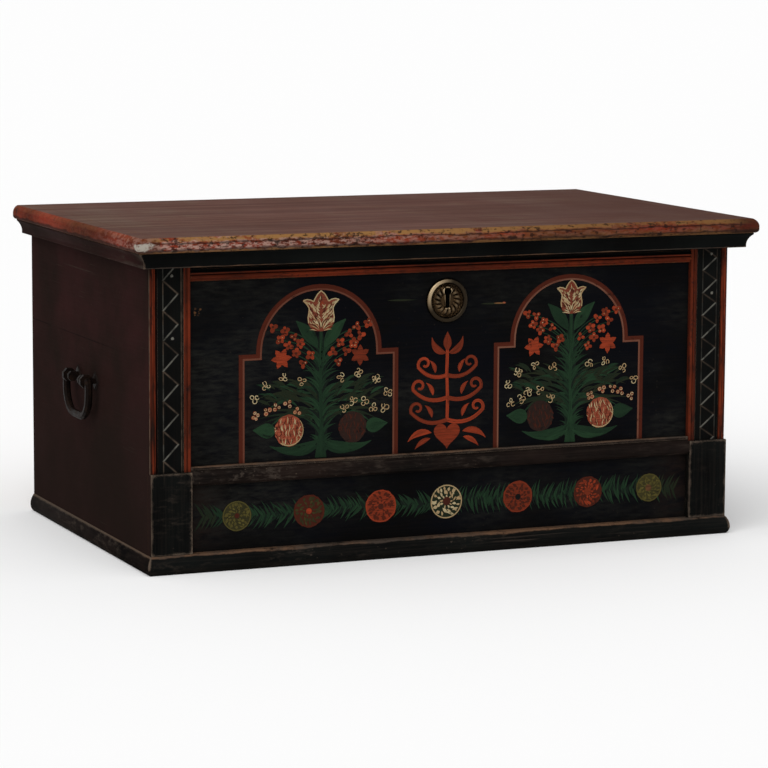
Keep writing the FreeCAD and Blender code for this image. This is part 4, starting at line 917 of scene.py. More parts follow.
def unit(turn):
    """A step of one in the direction of an angle, in x and z."""
    return Vector((math.cos(turn), math.sin(turn)))


# Least width of a leaf, as a share of its full width, and the seeds of the hand-made errors
LEAST_WIDTH = 0.06
SEEDS = {"arch": 10, "arch_light": 20, "bouquet": 100, "sprig": 300, "needles": 400, "shade": 401,
         "faded": 402, "rosette": 500, "petals": 520, "eye": 540, "rim": 580, "scar": 600, "knot": 640}


class Coat:
    """Painted strokes of one colour on the front boards, gathered into one closed mesh."""

    def __init__(self, film, seed):
        self.film = film
        self.dice = random.Random(seed)
        self.points = []
        self.marks = []
        self.faces = []

    def between(self, low, high):
        """A number drawn between two others."""
        return self.dice.uniform(low, high)

    def stray(self, reach):
        """A small hand-made error, in x and z."""
        return Vector((self.between(-reach, reach), self.between(-reach, reach)))

    def lay(self, places, marks, layer):
        """Adds front and back points for a stroke and gives the number of the first of each."""
        front = len(self.points)
        tone = self.dice.random()
        lift = layer + 0.2 * self.dice.random()
        for share, sink in ((lift, 0.0), (0.0, 0.1 * MM)):
            for place in places:
                self.points.append((place.x, PANEL_Y - share * self.film + sink, place.y))
        self.marks += [(*mark, tone) for mark in marks] * 2
        return front, front + len(places)

    def strip(self, lefts, rights, layer, closed=False):
        """A stroke between two edges."""
        count = len(lefts)
        places = [*lefts, *rights]
        marks = [(number * (lefts[0] - lefts[-1]).length / count, side * 0.004)
                 for side in (1, -1) for number in range(count)]
        front, back = self.lay(places, marks, layer)
        last = count if closed else count - 1
        for number in range(last):
            after = (number + 1) % count
            left, right, next_left, next_right = number, count + number, after, count + after
            self.faces.append((front + left, front + right, front + next_right, front + next_left))
            self.faces.append((back + left, back + next_left, back + next_right, back + right))
            self.faces.append((front + left, front + next_left, back + next_left, back + left))
            self.faces.append((front + right, back + right, back + next_right, front + next_right))
        if not closed:
            end_left, end_right = count - 1, 2 * count - 1
            self.faces.append((front, back, back + count, front + count))
            self.faces.append((front + end_left, front + end_right, back + end_right, back + end_left))

    def fan(self, centre, outline, layer):
        """A rounded patch inside an outline that runs anticlockwise, a little thicker in its middle."""
        count = len(outline)
        places = [*outline, centre]
        front, back = self.lay(places, [tuple(place - centre) for place in places], layer)
        middle = self.points[front + count]
        self.points[front + count] = (middle[0], middle[1] - 0.4 * self.film, middle[2])
        for number in range(count):
            after = (number + 1) % count
            self.faces.append((front + count, front + number, front + after))
            self.faces.append((back + count, back + after, back + number))
            self.faces.append((front + number, back + number, back + after, front + after))

    def line(self, path, width, layer, taper=0.0):
        """A line along a path, thinning towards its end by taper."""
        count = len(path) - 1
        widths = [width * (1 - taper * number / count) for number in range(count + 1)]
        self.strip(*edges_of(path, widths), layer)

    def leaf(self, start, end, width, layer, bend=0.0, belly=0.8):
        """A leaf, petal or single brush stroke: full in the middle and pointed at its end."""
        path = bent(start, end, bend)
        count = len(path) - 1
        shares = [max(LEAST_WIDTH, math.sin(math.pi * (number / count) ** belly))
                  for number in range(count + 1)]
        self.strip(*edges_of(path, [width * share for share in shares]), layer)

    def disc(self, centre, radius, layer, lobes=0, depth=0.0, turn=0.0, steps=20):
        """A round, lobed or starry patch."""
        outline = []
        for step in range(steps):
            angle = turn + 2 * math.pi * step / steps
            reach = radius * (1 - depth + depth * math.cos(lobes * (angle - turn)))
            reach *= self.between(0.97, 1.03)
            outline.append(centre + reach * unit(angle))
        self.fan(centre, outline, layer)

    def ring(self, centre, radius, width, layer, steps=10):
        """A small painted loop."""
        circle = arc(centre, radius, 0, 360, steps)[:-1]
        self.strip(*edges_of(circle, [width] * steps, True), layer, True)

    def loop(self, centre, radius, width, layer):
        """A loosely drawn loop, not quite round and not always closed."""
        start = self.between(0, 360)
        squash = self.between(0.65, 1.0)
        turn = Matrix.Rotation(self.between(0, math.pi), 2)
        curve = arc((0, 0), radius, start, start + self.between(270, 365), 10)
        path = [centre + turn @ Vector((point.x, squash * point.y)) for point in curve]
        self.line(path, width, layer, 0.4)

    def finish(self, name, material, slot=None):
        """Makes the mesh, gives it its paint and lets it ride on the carcass."""
        mesh = bpy.data.meshes.new(name)
        mesh.from_pydata(self.points, [], self.faces)
        marks = mesh.attributes.new("stroke", "FLOAT_VECTOR", "POINT")
        marks.data.foreach_set("vector", [value for mark in self.marks for value in mark])
        mesh.materials.append(material)
        piece = bpy.data.objects.new(name, mesh)
        bpy.context.scene.collection.objects.link(piece)
        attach(piece, "carcass")


def ornament_paints(paint):
    """The ornament's paints, made once and shared."""
    chart = {
        "leaf": (paint.leaf, paint.leaf_dark),
        "leaf_dark": (paint.leaf_dark, paint.bog),
        "moss": (paint.moss, paint.leaf_dark),
        "petal": (paint.petal, paint.sealing_dark),
        "petal_dark": (paint.petal_dark, paint.sealing_dark),
        "cream": (paint.cream, paint.tan),
        "blush": (paint.blush, paint.petal_dark),
        "khaki": (paint.khaki, paint.moss),
        "olive": (paint.olive, paint.khaki),
        "sealing": (paint.sealing, paint.sealing_dark),
        "arch": (paint.arch, paint.sealing_dark),
        "chestnut": (paint.chestnut, paint.umber),
        "arch_light": (paint.arch_light, paint.arch),
        "sealing_brown": (paint.pine_dark, paint.umber),
        "night": (paint.night, paint.bog),
        "pale": (paint.pale, paint.bog),
        "tan": (paint.tan, paint.soot),
    }
    for name, (coat, shade) in chart.items():
        if name + "_ornament" not in bpy.data.materials:
            ornament_paint(name + "_ornament", coat, shade, paint.night)
    return {name: bpy.data.materials[name + "_ornament"] for name in chart}


class TRUNK_OT_arches(bpy.types.Operator):
    """Paints the outlines of the two arched niches."""

    bl_idname = "trunk.arches"
    bl_label = "Arches"

    def execute(self, context):
        size = context.scene.trunk_ornament
        paints = ornament_paints(context.scene.trunk_colours)
        for side, name in SIDES:
            middle = side * size.arch_offset
            line = Coat(size.film, SEEDS["arch"] + side)
            line.line(self.outline(size, middle, size.arch_line / 2), size.arch_line, 1.0)
            line.finish("arch_" + name, paints["arch"], "red_paint")
            light = Coat(size.film, SEEDS["arch_light"] + side)
            light.line(self.outline(size, middle, size.arch_line - 1.6 * MM), 3.2 * MM, 1.6)
            light.finish("arch_light_" + name, paints["arch_light"])
        return {"FINISHED"}

    def outline(self, size, middle, inset):
        """The niche's line, a step inside its outer edge, from one foot to the other."""
        half = size.arch_half - inset
        radius = size.arch_radius - inset
        shoulder = size.arch_shoulder - inset
        round_top = arc((middle, size.arch_shoulder), radius, 180, 0, 28)
        round_top = [point for point in round_top if point.y > shoulder]
        left = [Vector((middle - half, PANEL_LOW)), Vector((middle - half, shoulder)),
                Vector((middle - radius, shoulder))]
        right = [Vector((2 * middle - point.x, point.y)) for point in reversed(left)]
        return left + round_top + right


# Right half of a bouquet, in millimetres: out from the arch's middle, up from the panel's foot
RED_FLOWERS = ((89, 234), (68, 230), (52, 219), (77, 215), (38, 205), (62, 202), (21, 186), (46, 187),
               (32, 171))
STAR_FLOWER = (74, 180)
HIGH_BLOSSOMS = ((38, 141), (70, 147), (104, 135), (126, 112))
LOW_BLOSSOMS = ((42, 87), (62, 98), (83, 96), (100, 87), (121, 81))
FRUIT = (60, 53)
FRUIT_RADIUS = 28
BOUQUET_LEAN = 3
BOUQUET_PAINTS = ("moss", "leaf_dark", "leaf", "petal", "petal_dark", "chestnut", "cream", "blush", "arch")

# Right half of the tulip's outline from its foot to its tip, in millimetres off the foot, and its middle
TULIP = ((0, 0), (10, 1), (17, 6), (21, 13), (22, 21), (20.5, 29), (20, 35), (23, 40), (30, 47), (24, 48.5),
         (18, 47.5), (12.5, 45), (10, 50), (6, 56), (0, 61))
TULIP_MIDDLE = 27

# Each bouquet's own plan, left and right: height of the tulip's foot, its size, and how far the flowers rise
BOUQUETS = {-1: (225, 1.17, 0), 1: (236, 1.0, 6)}


class TRUNK_OT_bouquets(bpy.types.Operator):
    """Paints the bouquet in each niche: tulip, stars, small flowers, blossoms, fruit and leaves."""

    bl_idname = "trunk.bouquets"
    bl_label = "Bouquets"

    def execute(self, context):
        paints = ornament_paints(context.scene.trunk_colours)
        for side, name in SIDES:
            self.paint_bouquet(context.scene.trunk_ornament, paints, side, name)
        return {"FINISHED"}

    def paint_bouquet(self, size, paints, side, name):
        """One bouquet, with a coat for each of its paints."""
        foot, grow, rise = BOUQUETS[side]
        middle = side * size.arch_offset + BOUQUET_LEAN * MM
        coats = {tint: Coat(size.film, SEEDS["bouquet"] + 7 * side + number)
                 for number, tint in enumerate(BOUQUET_PAINTS)}

        def spot(out, up):
            return Vector((middle + out * MM, PANEL_LOW + up * MM))

        self.paint_foliage(coats, spot, foot, rise)
        for half in (-1, 1):
            self.paint_flowers(coats, spot, half, half == side, rise)
            self.paint_fruit(coats, spot, half, half == side)
        self.paint_tulip(coats, lambda out, up: spot(grow * out, foot + grow * up))
        for tint, coat in coats.items():
            coat.finish("bouquet_" + name + "_" + tint, paints[tint])

    def paint_foliage(self, coats, spot, foot, rise):
        """Stem of feathery strokes, wisps to the blossoms and the broad leaves."""
        leaf, dark, moss = coats["leaf"], coats["leaf_dark"], coats["moss"]
        stem = [spot(0, 2), spot(1, 60), spot(-1, 120), spot(0, 180), spot(0, foot + 2)]
        dark.strip(*edges_of(stem, [18 * MM, 24 * MM, 24 * MM, 18 * MM, 7 * MM]), 0.4)
        leaf.strip(*edges_of(stem, [22 * MM, 6 * MM, 6 * MM, 6 * MM, 5 * MM]), 0.9)
        for half in (-1, 1):
            for number in range(36):
                up = 4 + 5.2 * number + leaf.between(-3, 3)
                reach = 15 + 20 * math.sin(math.pi * number / 35) + leaf.between(-6, 6)
                climb = reach * leaf.between(0.5, 1.25)
                coat = dark if leaf.dice.random() < 0.25 else leaf
                coat.leaf(spot(1.5 * half, up), spot(half * reach, up + climb),
                          leaf.between(3.2, 5.4) * MM, 0.8, leaf.between(0.08, 0.2) * half, 0.62)
            self.paint_wisps(leaf, moss, spot, half)
            for out, up in RED_FLOWERS:
                leaf.line(bent(spot(4 * half, up - 40), spot(half * (out - 3), up + rise - 3), 0.1 * half, 6),
                          1.6 * MM, 0.5)
            leaf.leaf(spot(6 * half, foot - 30), spot(47 * half, foot + 20), 23 * MM, 1.0, 0.05 * half, 0.9)
            leaf.leaf(spot(84 * half, 53), spot(127 * half, 57), 27 * MM, 1.0, 0.0, 0.7)
            leaf.leaf(spot(4 * half, 34), spot(96 * half, 27), 19 * MM, 1.0, -0.14 * half, 0.8)
            leaf.leaf(spot(3 * half, 26), spot(70 * half, 15), 11 * MM, 1.0, -0.12 * half, 0.8)
        for number in range(7):
            out = leaf.between(-9, 9)
            leaf.leaf(spot(0.3 * out, 150 + 4 * number), spot(out, 206 + leaf.between(-10, 10)), 4 * MM, 1.2)

    def paint_wisps(self, leaf, moss, spot, half):
        """Olive and green fronds that fan out to the blossoms."""
        for out, up in (*HIGH_BLOSSOMS, *LOW_BLOSSOMS):
            root = 0.6 * up + 14
            for number in range(3):
                end = spot(half * (out - 5 - 9 * number), up - 3 - 9 * number + moss.between(-4, 4))
                coat = leaf if number == 2 else moss
                coat.leaf(spot(6 * half, root + 9 * number), end, moss.between(4, 7) * MM, 0.6,
                          moss.between(0.06, 0.16) * half, 1.0)
        for number in range(26):
            out = moss.between(34, 112)
            up = 118 + 0.08 * out + moss.between(-22, 16)
            coat = leaf if number % 4 == 1 else moss
            coat.leaf(spot(half * (out - 13), up - 7), spot(half * (out + 13), up + moss.between(-2, 12)),
                      moss.between(4, 6.5) * MM, 0.7, moss.between(0.06, 0.18) * half, 0.85)

    def paint_flowers(self, coats, spot, half, warm, rise):
        """Small red flowers, a six-point star and looped blossoms on one half."""
        petal, dark, cream = coats["petal"], coats["petal_dark"], coats["cream"]
        for out, up in RED_FLOWERS:
            centre = spot(half * out, up + rise) + petal.stray(2.0 * MM)
            first = petal.between(0, 6)
            lobes = petal.dice.choice((3, 4, 5))
            for lobe in range(lobes):
                turn = first + 2 * math.pi * lobe / lobes
                middle = centre + petal.between(3.8, 5.4) * MM * unit(turn)
                petal.disc(middle, petal.between(3.6, 5.8) * MM, 2.0, 2, 0.12, turn, 12)
                if petal.dice.random() < 0.3:
                    cream.disc(middle, 0.9 * MM, 3.0, steps=6)
            dark.disc(centre + dark.stray(0.8 * MM), 2.2 * MM, 3.2, steps=7)
        centre = spot(half * STAR_FLOWER[0], STAR_FLOWER[1])
        petal.disc(centre, 19 * MM, 2.2, 6, 0.22, 0.3 + 0.2 * half, 24)
        for low, blossoms in ((False, HIGH_BLOSSOMS), (True, LOW_BLOSSOMS)):
            for out, up in blossoms:
                self.paint_blossom(coats, spot(half * out, up) + cream.stray(2.5 * MM), low and warm)

    def paint_blossom(self, coats, centre, warm):
        """Three or four loosely drawn loops round a dark eye, cream or warm."""
        cream = coats["cream"]
        turn = cream.between(0, 6)
        count = cream.dice.choice((3, 3, 4))
        for number in range(count):
            angle = turn + 2 * math.pi * number / count + cream.between(-0.3, 0.3)
            middle = centre + cream.between(4.4, 5.6) * MM * unit(angle)
            radius = cream.between(3.0, 4.3) * MM
            if warm:
                coats["blush"].disc(middle, radius, 2.2, steps=10)
                cream.loop(middle, 0.7 * radius, 1.3 * MM, 3.0 + 0.3 * number)
            else:
                cream.loop(middle, radius, 1.6 * MM, 2.6 + 0.3 * number)
        coats["petal_dark"].disc(centre, 2.0 * MM, 2.4, steps=7)

    def paint_fruit(self, coats, spot, half, streaked):
        """A round fruit, streaked cream and red or plain brown."""
        centre = spot(half * FRUIT[0], FRUIT[1])
        skin = coats["blush"] if streaked else coats["chestnut"]
        skin.disc(centre, FRUIT_RADIUS * MM, 1.6, 2, 0.03, 1.57, 26)
        tints = ("cream", "cream", "petal", "petal_dark", "arch") if streaked else ("petal_dark", "chestnut")
        for column in range(-7, 8):
            for row in (-1.5, -0.5, 0.5, 1.5):
                out = 3.5 * column + skin.between(-1.0, 1.0)
                tall = math.sqrt(max(0, (FRUIT_RADIUS - 2) ** 2 - out ** 2))
                up = 0.46 * tall * row + skin.between(-3, 3)
                lean = skin.between(-3, 3)
                start = centre + MM * Vector((out - lean, up - 0.26 * tall))
                end = centre + MM * Vector((out + lean, up + 0.26 * tall))
                tint = coats[skin.dice.choice(tints)]
                width = skin.between(1.2, 2.2) * MM
                tint.leaf(start, end, width, 2.4, skin.between(-0.2, 0.2), 0.9)
        if streaked:
            coats["cream"].line(arc(centre, (FRUIT_RADIUS - 1.5) * MM, -125, 40, 16), 2.2 * MM, 3.0, 0.5)

    def paint_tulip(self, coats, at):
        """A three-pointed tulip: an outlined middle petal, curled outer petals and a fan of strokes below."""
        blush, cream, petal, dark = (coats[tint] for tint in ("blush", "cream", "petal", "petal_dark"))
        right = [at(out, up) for out, up in TULIP]
        left = [at(-out, up) for out, up in reversed(TULIP[1:-1])]
        blush.fan(at(0, TULIP_MIDDLE), right + left, 2.0)
        for half in (-1, 1):
            edge = [at(half * 0.95 * out, up) for out, up in TULIP]
            for first, last in ((3, 9), (8, 12), (11, 15)):
                cream.line(edge[first:last], 2.0 * MM, 3.4)
            for number in range(9):
                turn = math.radians(8 + 9 * number)
                near, far = 5 + cream.between(-2, 3), 19 + cream.between(-3, 3)
                tint = (cream, petal, cream, dark)[number % 4]
                way = Vector((half * math.cos(turn), math.sin(turn)))
                tint.leaf(at(near * way.x, near * way.y), at(far * way.x, far * way.y),
                          cream.between(1.5, 2.4) * MM, 2.8, 0.1 * half, 0.9)
            for number in range(44):
                out = cream.between(0, 16)
                up = cream.between(10, 37)
                tint = (cream, cream, cream, dark)[number % 4]
                tint.leaf(at(half * out, up), at(half * (out + 4.5), up + 6.5),
                          cream.between(1.4, 2.2) * MM, 2.8, -0.12 * half, 0.9)
            for number in range(5):
                out = 17 + 2 * number
                cream.leaf(at(half * out, 39 + 1.1 * number),
                           at(half * (out + 3), 45 + 0.5 * number), 1.6 * MM, 2.8)
        for number in range(14):
            out = cream.between(-6, 6)
            up = 36 + cream.between(0, 16 - 1.4 * abs(out))
            tint = (cream, dark, petal)[number % 3]
            tint.leaf(at(out, up), at(0.5 * out, up + 7),
                      cream.between(1.4, 2.2) * MM, 2.8, 0.02 * out, 0.9)


class TRUNK_OT_centre(bpy.types.Operator):
    """Paints a plain red sprig with a heart and scrolls between the niches."""

    bl_idname = "trunk.centre"
    bl_label = "Middle sprig"

    def execute(self, context):
        size = context.scene.trunk_ornament
        paints = ornament_paints(context.scene.trunk_colours)
        red = Coat(size.film, SEEDS["sprig"])

        def spot(out, up):
            return Vector((out * MM, PANEL_LOW + up * MM))

        self.paint_heart(red, spot(2, 30), 27 * MM)
        red.line([spot(2, 52), spot(3, 90), spot(1, 140), spot(2, 184)], 6 * MM, 1.2)
        for half in (-1, 1):
            for up, reach in ((72, 70), (112, 66), (152, 56)):
                self.paint_scroll(red, spot(2, up - 16), spot(2 + half * reach, up), half)
                red.leaf(spot(2 + half * 0.42 * reach, up - 11), spot(2 + half * 0.62 * reach, up + 12),
                         8 * MM, 1.6, 0.14 * half, 0.8)
            red.leaf(spot(2 + 2 * half, 176), spot(2 + 30 * half, 205), 13 * MM, 1.6, -0.2 * half)
            red.leaf(spot(2 + 30 * half, 34), spot(2 + 76 * half, 20), 12 * MM, 1.5, 0.16 * half)
            red.leaf(spot(2 + 32 * half, 24), spot(2 + 62 * half, 6), 9 * MM, 1.5, 0.1 * half)
        red.leaf(spot(2, 180), spot(2, 214), 16 * MM, 1.8)
        red.finish("middle_sprig", paints["petal"], "red_paint")
        return {"FINISHED"}

    def paint_heart(self, coat, centre, reach):
        """A heart that stands on its point."""
        outline = []
        for step in range(36):
            turn = 2 * math.pi * step / 36
            across = 16 * math.sin(turn) ** 3
            up = 13 * math.cos(turn) - 5 * math.cos(2 * turn) - 2 * math.cos(3 * turn) - math.cos(4 * turn)
            outline.append(centre + reach / 17 * Vector((-across, up)))
        coat.fan(centre, outline, 1.6)

    def paint_scroll(self, coat, start, end, half):
        """A tendril from the stem that rolls up at its end."""
        path = bent(start, end, -0.16 * half, 8)
        centre = end + Vector((-half * 12 * MM, 6 * MM))
        reach = (end - centre).length
        first = math.atan2(end.y - centre.y, end.x - centre.x)
        for step in range(1, 15):
            turn = first + half * 0.42 * step
            radius = reach * (1 - 0.055 * step)
            path.append(centre + radius * unit(turn))
        coat.line(path, 7.5 * MM, 1.4, 0.5)


# Rosettes from left to right: place from the middle in millimetres, share of the full radius, and the
# paints of ground, petals, rim and eye
ROSETTES = (
    (-397, 0.86, "khaki", "olive", "olive", "petal_dark"),
    (-262, 0.94, "petal_dark", "khaki", "arch", "petal"),
    (-125, 0.95, "petal", "arch", "petal", "petal_dark"),
    (2, 1.0, "moss", "cream", "cream", "petal_dark"),
    (143, 0.93, "petal", "petal_dark", "petal", "night"),
    (284, 0.91, "petal_dark", "petal", "arch", "sealing"),
    (409, 0.84, "khaki", "olive", "olive", "sealing_brown"),
)

# The garland, in millimetres: its half length, where it fades, and the step from needle to needle
GARLAND_END = 458
GARLAND_FADE = 432
NEEDLE_STEP = 2.7

# Needles of the left and right half: least and greatest slope in degrees, and the share of fresh green
NEEDLES = {-1: (44, 66, 0.4), 1: (60, 84, 0.25)}


class TRUNK_OT_garland(bpy.types.Operator):
    """Paints the frieze: a row of rosettes on a leafy garland."""

    bl_idname = "trunk.garland"
    bl_label = "Garland"

    def execute(self, context):
        size = context.scene.trunk_ornament
        paints = ornament_paints(context.scene.trunk_colours)
        self.paint_needles(size, paints)
        for number, rosette in enumerate(ROSETTES):
            self.paint_rosette(size, paints, number, *rosette)
        return {"FINISHED"}

    def paint_needles(self, size, paints):
        """Short strokes off a wavering spine, which point away from the middle."""
        green = Coat(size.film, SEEDS["needles"])
        shade = Coat(size.film, SEEDS["shade"])
        faded = Coat(size.film, SEEDS["faded"])
        count = int(2 * GARLAND_END / NEEDLE_STEP)
        for number in range(count + 1):
            out = -GARLAND_END + 2 * GARLAND_END * number / count
            up = size.rosette_height + 2 * MM * math.sin(out / 40)
            if min(abs(out - rosette[0]) for rosette in ROSETTES) < 16:
                continue
            away = -1 if out < 0 else 1
            flat, steep, fresh = NEEDLES[away]
            for half in (-1, 1):
                long = number % 3 == 0
                coat = green if long or green.dice.random() < fresh else shade
                if abs(out) > GARLAND_FADE:
                    coat = faded
                root = Vector((out * MM, up - 3 * half * MM)) + green.stray(2.5 * MM)
                reach = (green.between(27, 33) if long else green.between(13, 22)) * MM
                lean = math.radians(green.between(flat, steep))
                tip = root + reach * Vector((away * math.cos(lean), half * math.sin(lean)))
                wide = green.between(3.6, 5.0) if long else green.between(2.8, 4.0)
                coat.leaf(root, tip, wide * MM, 0.8, 0.05 * half * away, 0.6)
        green.finish("garland_needles", paints["leaf"])
        shade.finish("garland_shade", paints["leaf_dark"])
        faded.finish("garland_faded", paints["moss"])

    def paint_rosette(self, size, paints, number, place, share, ground, petals, rim, heart):
        """A round flower with a rim, two rings of swirling petals and an eye."""
        centre = Vector((place * MM, size.rosette_height))
        radius = share * size.rosette_radius
        base = Coat(size.film, SEEDS["rosette"] + number)
        base.disc(centre, radius, 1.8, 0, 0.0, 0.0, 40)
        base.finish("rosette_%d" % (number + 1), paints[ground])
        edge = Coat(size.film, SEEDS["rim"] + number)
        edge.ring(centre, 0.95 * radius, 0.07 * radius, 2.2, 40)
        edge.finish("rosette_rim_%d" % (number + 1), paints[rim])
        marks = Coat(size.film, SEEDS["petals"] + number)
        for near, far, count in ((0.64, 0.94, 19), (0.42, 0.68, 14), (0.22, 0.44, 9)):
            for step in range(count):
                turn = 2 * math.pi * (step + marks.between(-0.3, 0.3)) / count
                swirl = turn + marks.between(-0.25, 0.5)
                start = centre + marks.between(0.94, 1.06) * near * radius * unit(turn)
                end = centre + marks.between(0.9, 1.0) * far * radius * unit(swirl)
                wide = 2 * math.pi * near * radius / count * marks.between(0.45, 1.0)
                marks.leaf(start, end, wide, 2.6, marks.between(-0.1, 0.2), 1.0)
        marks.finish("rosette_petals_%d" % (number + 1), paints[petals])
        eye = Coat(size.film, SEEDS["eye"] + number)
        eye.disc(centre + eye.stray(1 * MM), eye.between(0.17, 0.25) * radius, 3.0, steps=14)
        eye.finish("rosette_eye_%d" % (number + 1), paints[heart])


# Carved and stamped pieces

def joined_grid(name, rows, back_y, marks):
    """A closed mesh from rows of front points, with walls down to a flat back."""
    tall, wide = len(rows), len(rows[0])
    points = [point for row in rows for point in row]
    faces = []
    for row in range(tall - 1):
        for column in range(wide - 1):
            first = row * wide + column
            faces.append((first, first + 1, first + wide + 1, first + wide))
    rim = [*range(wide), *(row * wide + wide - 1 for row in range(1, tall))]
    rim += [*((tall - 1) * wide + column for column in range(wide - 2, -1, -1))]
    rim += [row * wide for row in range(tall - 2, 0, -1)]
    first_back = len(points)
    points += [(points[index][0], back_y, points[index][2]) for index in rim]
    for number, index in enumerate(rim):
        after = (number + 1) % len(rim)
        faces.append((index, first_back + number, first_back + after, rim[after]))
    faces.append([first_back + number for number in reversed(range(len(rim)))])
    mesh = bpy.data.meshes.new(name)
    mesh.from_pydata(points, [], faces)
    layer = mesh.attributes.new("carve", "FLOAT_VECTOR", "POINT")
    spread = marks + [(0.0, 0.0, 0.0)] * len(rim)
    layer.data.foreach_set("vector", [value for mark in spread for value in mark])
    return mesh


def add_piece(mesh, smooth):
    """Puts a painted mesh that stands for a node into the scene, smooth up to an angle."""
    piece = bpy.data.objects.new(mesh.name, mesh)
    bpy.context.scene.collection.objects.link(piece)
    mesh.polygons.foreach_set("use_smooth", [True] * len(mesh.polygons))
    mesh.set_sharp_from_angle(angle=math.radians(smooth))
    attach(piece, "carcass")
    return piece


# Carving of each pilaster, in millimetres: from its inner edge to the incised lines and to the
# zigzag's corners, the height of an outer and of an inner corner, and the small pins
ZIGZAGS = {
    -1: {"lines": (4, 37), "corners": (10, 37), "outer": 457.5, "inner": 485.6, "faint": 0.5,
         "pins": ((21, 517), (20, 409))},
    1: {"lines": (12, 41), "corners": (12, 40), "outer": 471.5, "inner": 489.8, "faint": 0.25,
        "pins": ((29, 520), (31, 448))},
}


class TRUNK_OT_pilasters(bpy.types.Operator):
    """Carves the two pilasters: a reeded bead, incised lines and a zigzag set with small pins."""

    bl_idname = "trunk.pilasters"
    bl_label = "Pilasters"

    # Steps of the carved grid, then the sizes of flutes, lines, zigzag and pins
    grid_wide = 0.7 * MM
    grid_tall = 1.2 * MM
    flute_depth = 0.6 * MM
    flute_half = 1.3 * MM
    line_depth = 0.7 * MM
    zigzag_depth = 1.0 * MM
    pin_radius = 2.6 * MM
    pin_height = 0.9 * MM

    def execute(self, context):
        size = context.scene.trunk_ornament
        paint = context.scene.trunk_colours
        finish = painted_wood("carved_paint", paint.bog, paint.night, paint.umber, paint.pale, "Z",
                              reach=0.003, wear=0.3, flaking=0.15, shine=0.004, fibres=0.12,
                              masks=[carved_colours(paint)])
        for side, name in SIDES:
            mesh = self.carve(size, side, "carved_pilaster_" + name)
            paint_faces(mesh, [(side_finish(paint), facing_end(side)), (finish, everywhere)])
            piece = add_piece(mesh, 35)
            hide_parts("pilaster_" + name)
        return {"FINISHED"}

    def carve(self, size, side, name):
        """The carved face as a fine grid."""
        low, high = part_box("pilaster_right")
        wide, tall = high.x - low.x, high.z - low.z
        columns = round(wide / self.grid_wide)
        steps = round(tall / self.grid_tall)
        pitch = size.zigzag_left if side < 0 else size.zigzag_right
        rows, marks = [], []
        for step in range(steps + 1):
            z = low.z + tall * step / steps
            row = []
            for column in range(columns + 1):
                share = column / columns
                across = wide * (share if side > 0 else 1 - share)
                out, red, groove, bright = self.relief(size, side, pitch, wide, across, z)
                row.append((side * (low.x + across), PANEL_Y - out, z))
                marks.append((red, groove, bright))
            rows.append(row)
        return joined_grid(name, rows, PANEL_Y, marks)

    def relief(self, size, side, pitch, wide, across, z):
        """How far the face stands off the board, and how red and how rubbed it is there, with a painted
        highlight on the zigzag's rising strokes.
        """
        to_edge = wide - across
        radius = size.bead_width / 2
        if to_edge < size.bead_width:
            off = to_edge - radius
            level = size.bead_root + math.sqrt(max(0, radius ** 2 - off ** 2))
            flute = max(0, 1 - abs(abs(off) - radius / 3) / self.flute_half)
            red = min(1, to_edge / (5 * MM)) * (1 - 0.8 * flute)
            return level - self.flute_depth * flute, red, 0.5 if to_edge < 2.0 * MM else 0.0, 0.0
        if to_edge < size.bead_width + size.quirk:
            return size.bead_root, 0.0, 0.0, 0.0
        plan = ZIGZAGS[side]
        level, groove, bright = size.pilaster_field, 0.0, 0.0
        for line in plan["lines"]:
            near = max(0, 1 - abs(across - line * MM) / (0.5 * size.groove))
            level -= self.line_depth * near
            groove = max(groove, plan["faint"] * near)
        inner_x, outer_x = (corner * MM for corner in plan["corners"])
        if inner_x - size.groove < across < outer_x + size.groove:
            near, bright = self.zigzag(size, plan, pitch, across, z, inner_x, outer_x)
            level -= self.zigzag_depth * near
            groove = max(groove, max(plan["faint"], bright) * min(1, 1.3 * near))
        for pin_x, pin_z in plan["pins"]:
            reach = math.hypot(across - pin_x * MM, z - pin_z * MM) / self.pin_radius
            if reach < 1:
                level += self.pin_height * math.sqrt(1 - reach ** 2)
                groove, bright = 1.0, 1.0
        return level, 0.0, groove, bright

    def zigzag(self, size, plan, pitch, across, z, inner_x, outer_x):
        """Nearness to the zigzag's line, and its painted highlight: bright where it rises to the right, the
        wall that faces the light.
        """
        climb = (plan["inner"] - plan["outer"]) * MM % pitch
        along = (z - plan["outer"] * MM) % pitch
        inward = along < climb
        share = along / climb if inward else (pitch - along) / (pitch - climb)
        run = climb if inward else pitch - climb
        slope = (outer_x - inner_x) / run
        line = outer_x - (outer_x - inner_x) * share
        distance = abs(across - line) / math.sqrt(1 + slope ** 2)
        near = max(0, 1 - distance / (0.62 * size.groove))
        rising = inward == (plan is ZIGZAGS[-1])
        return near, 1.0 if rising else 0.0


# The side of the escutcheon where a highlight is painted, towards the key light, as an angle round its middle
HIGHLIGHT_SIDE = math.radians(142)


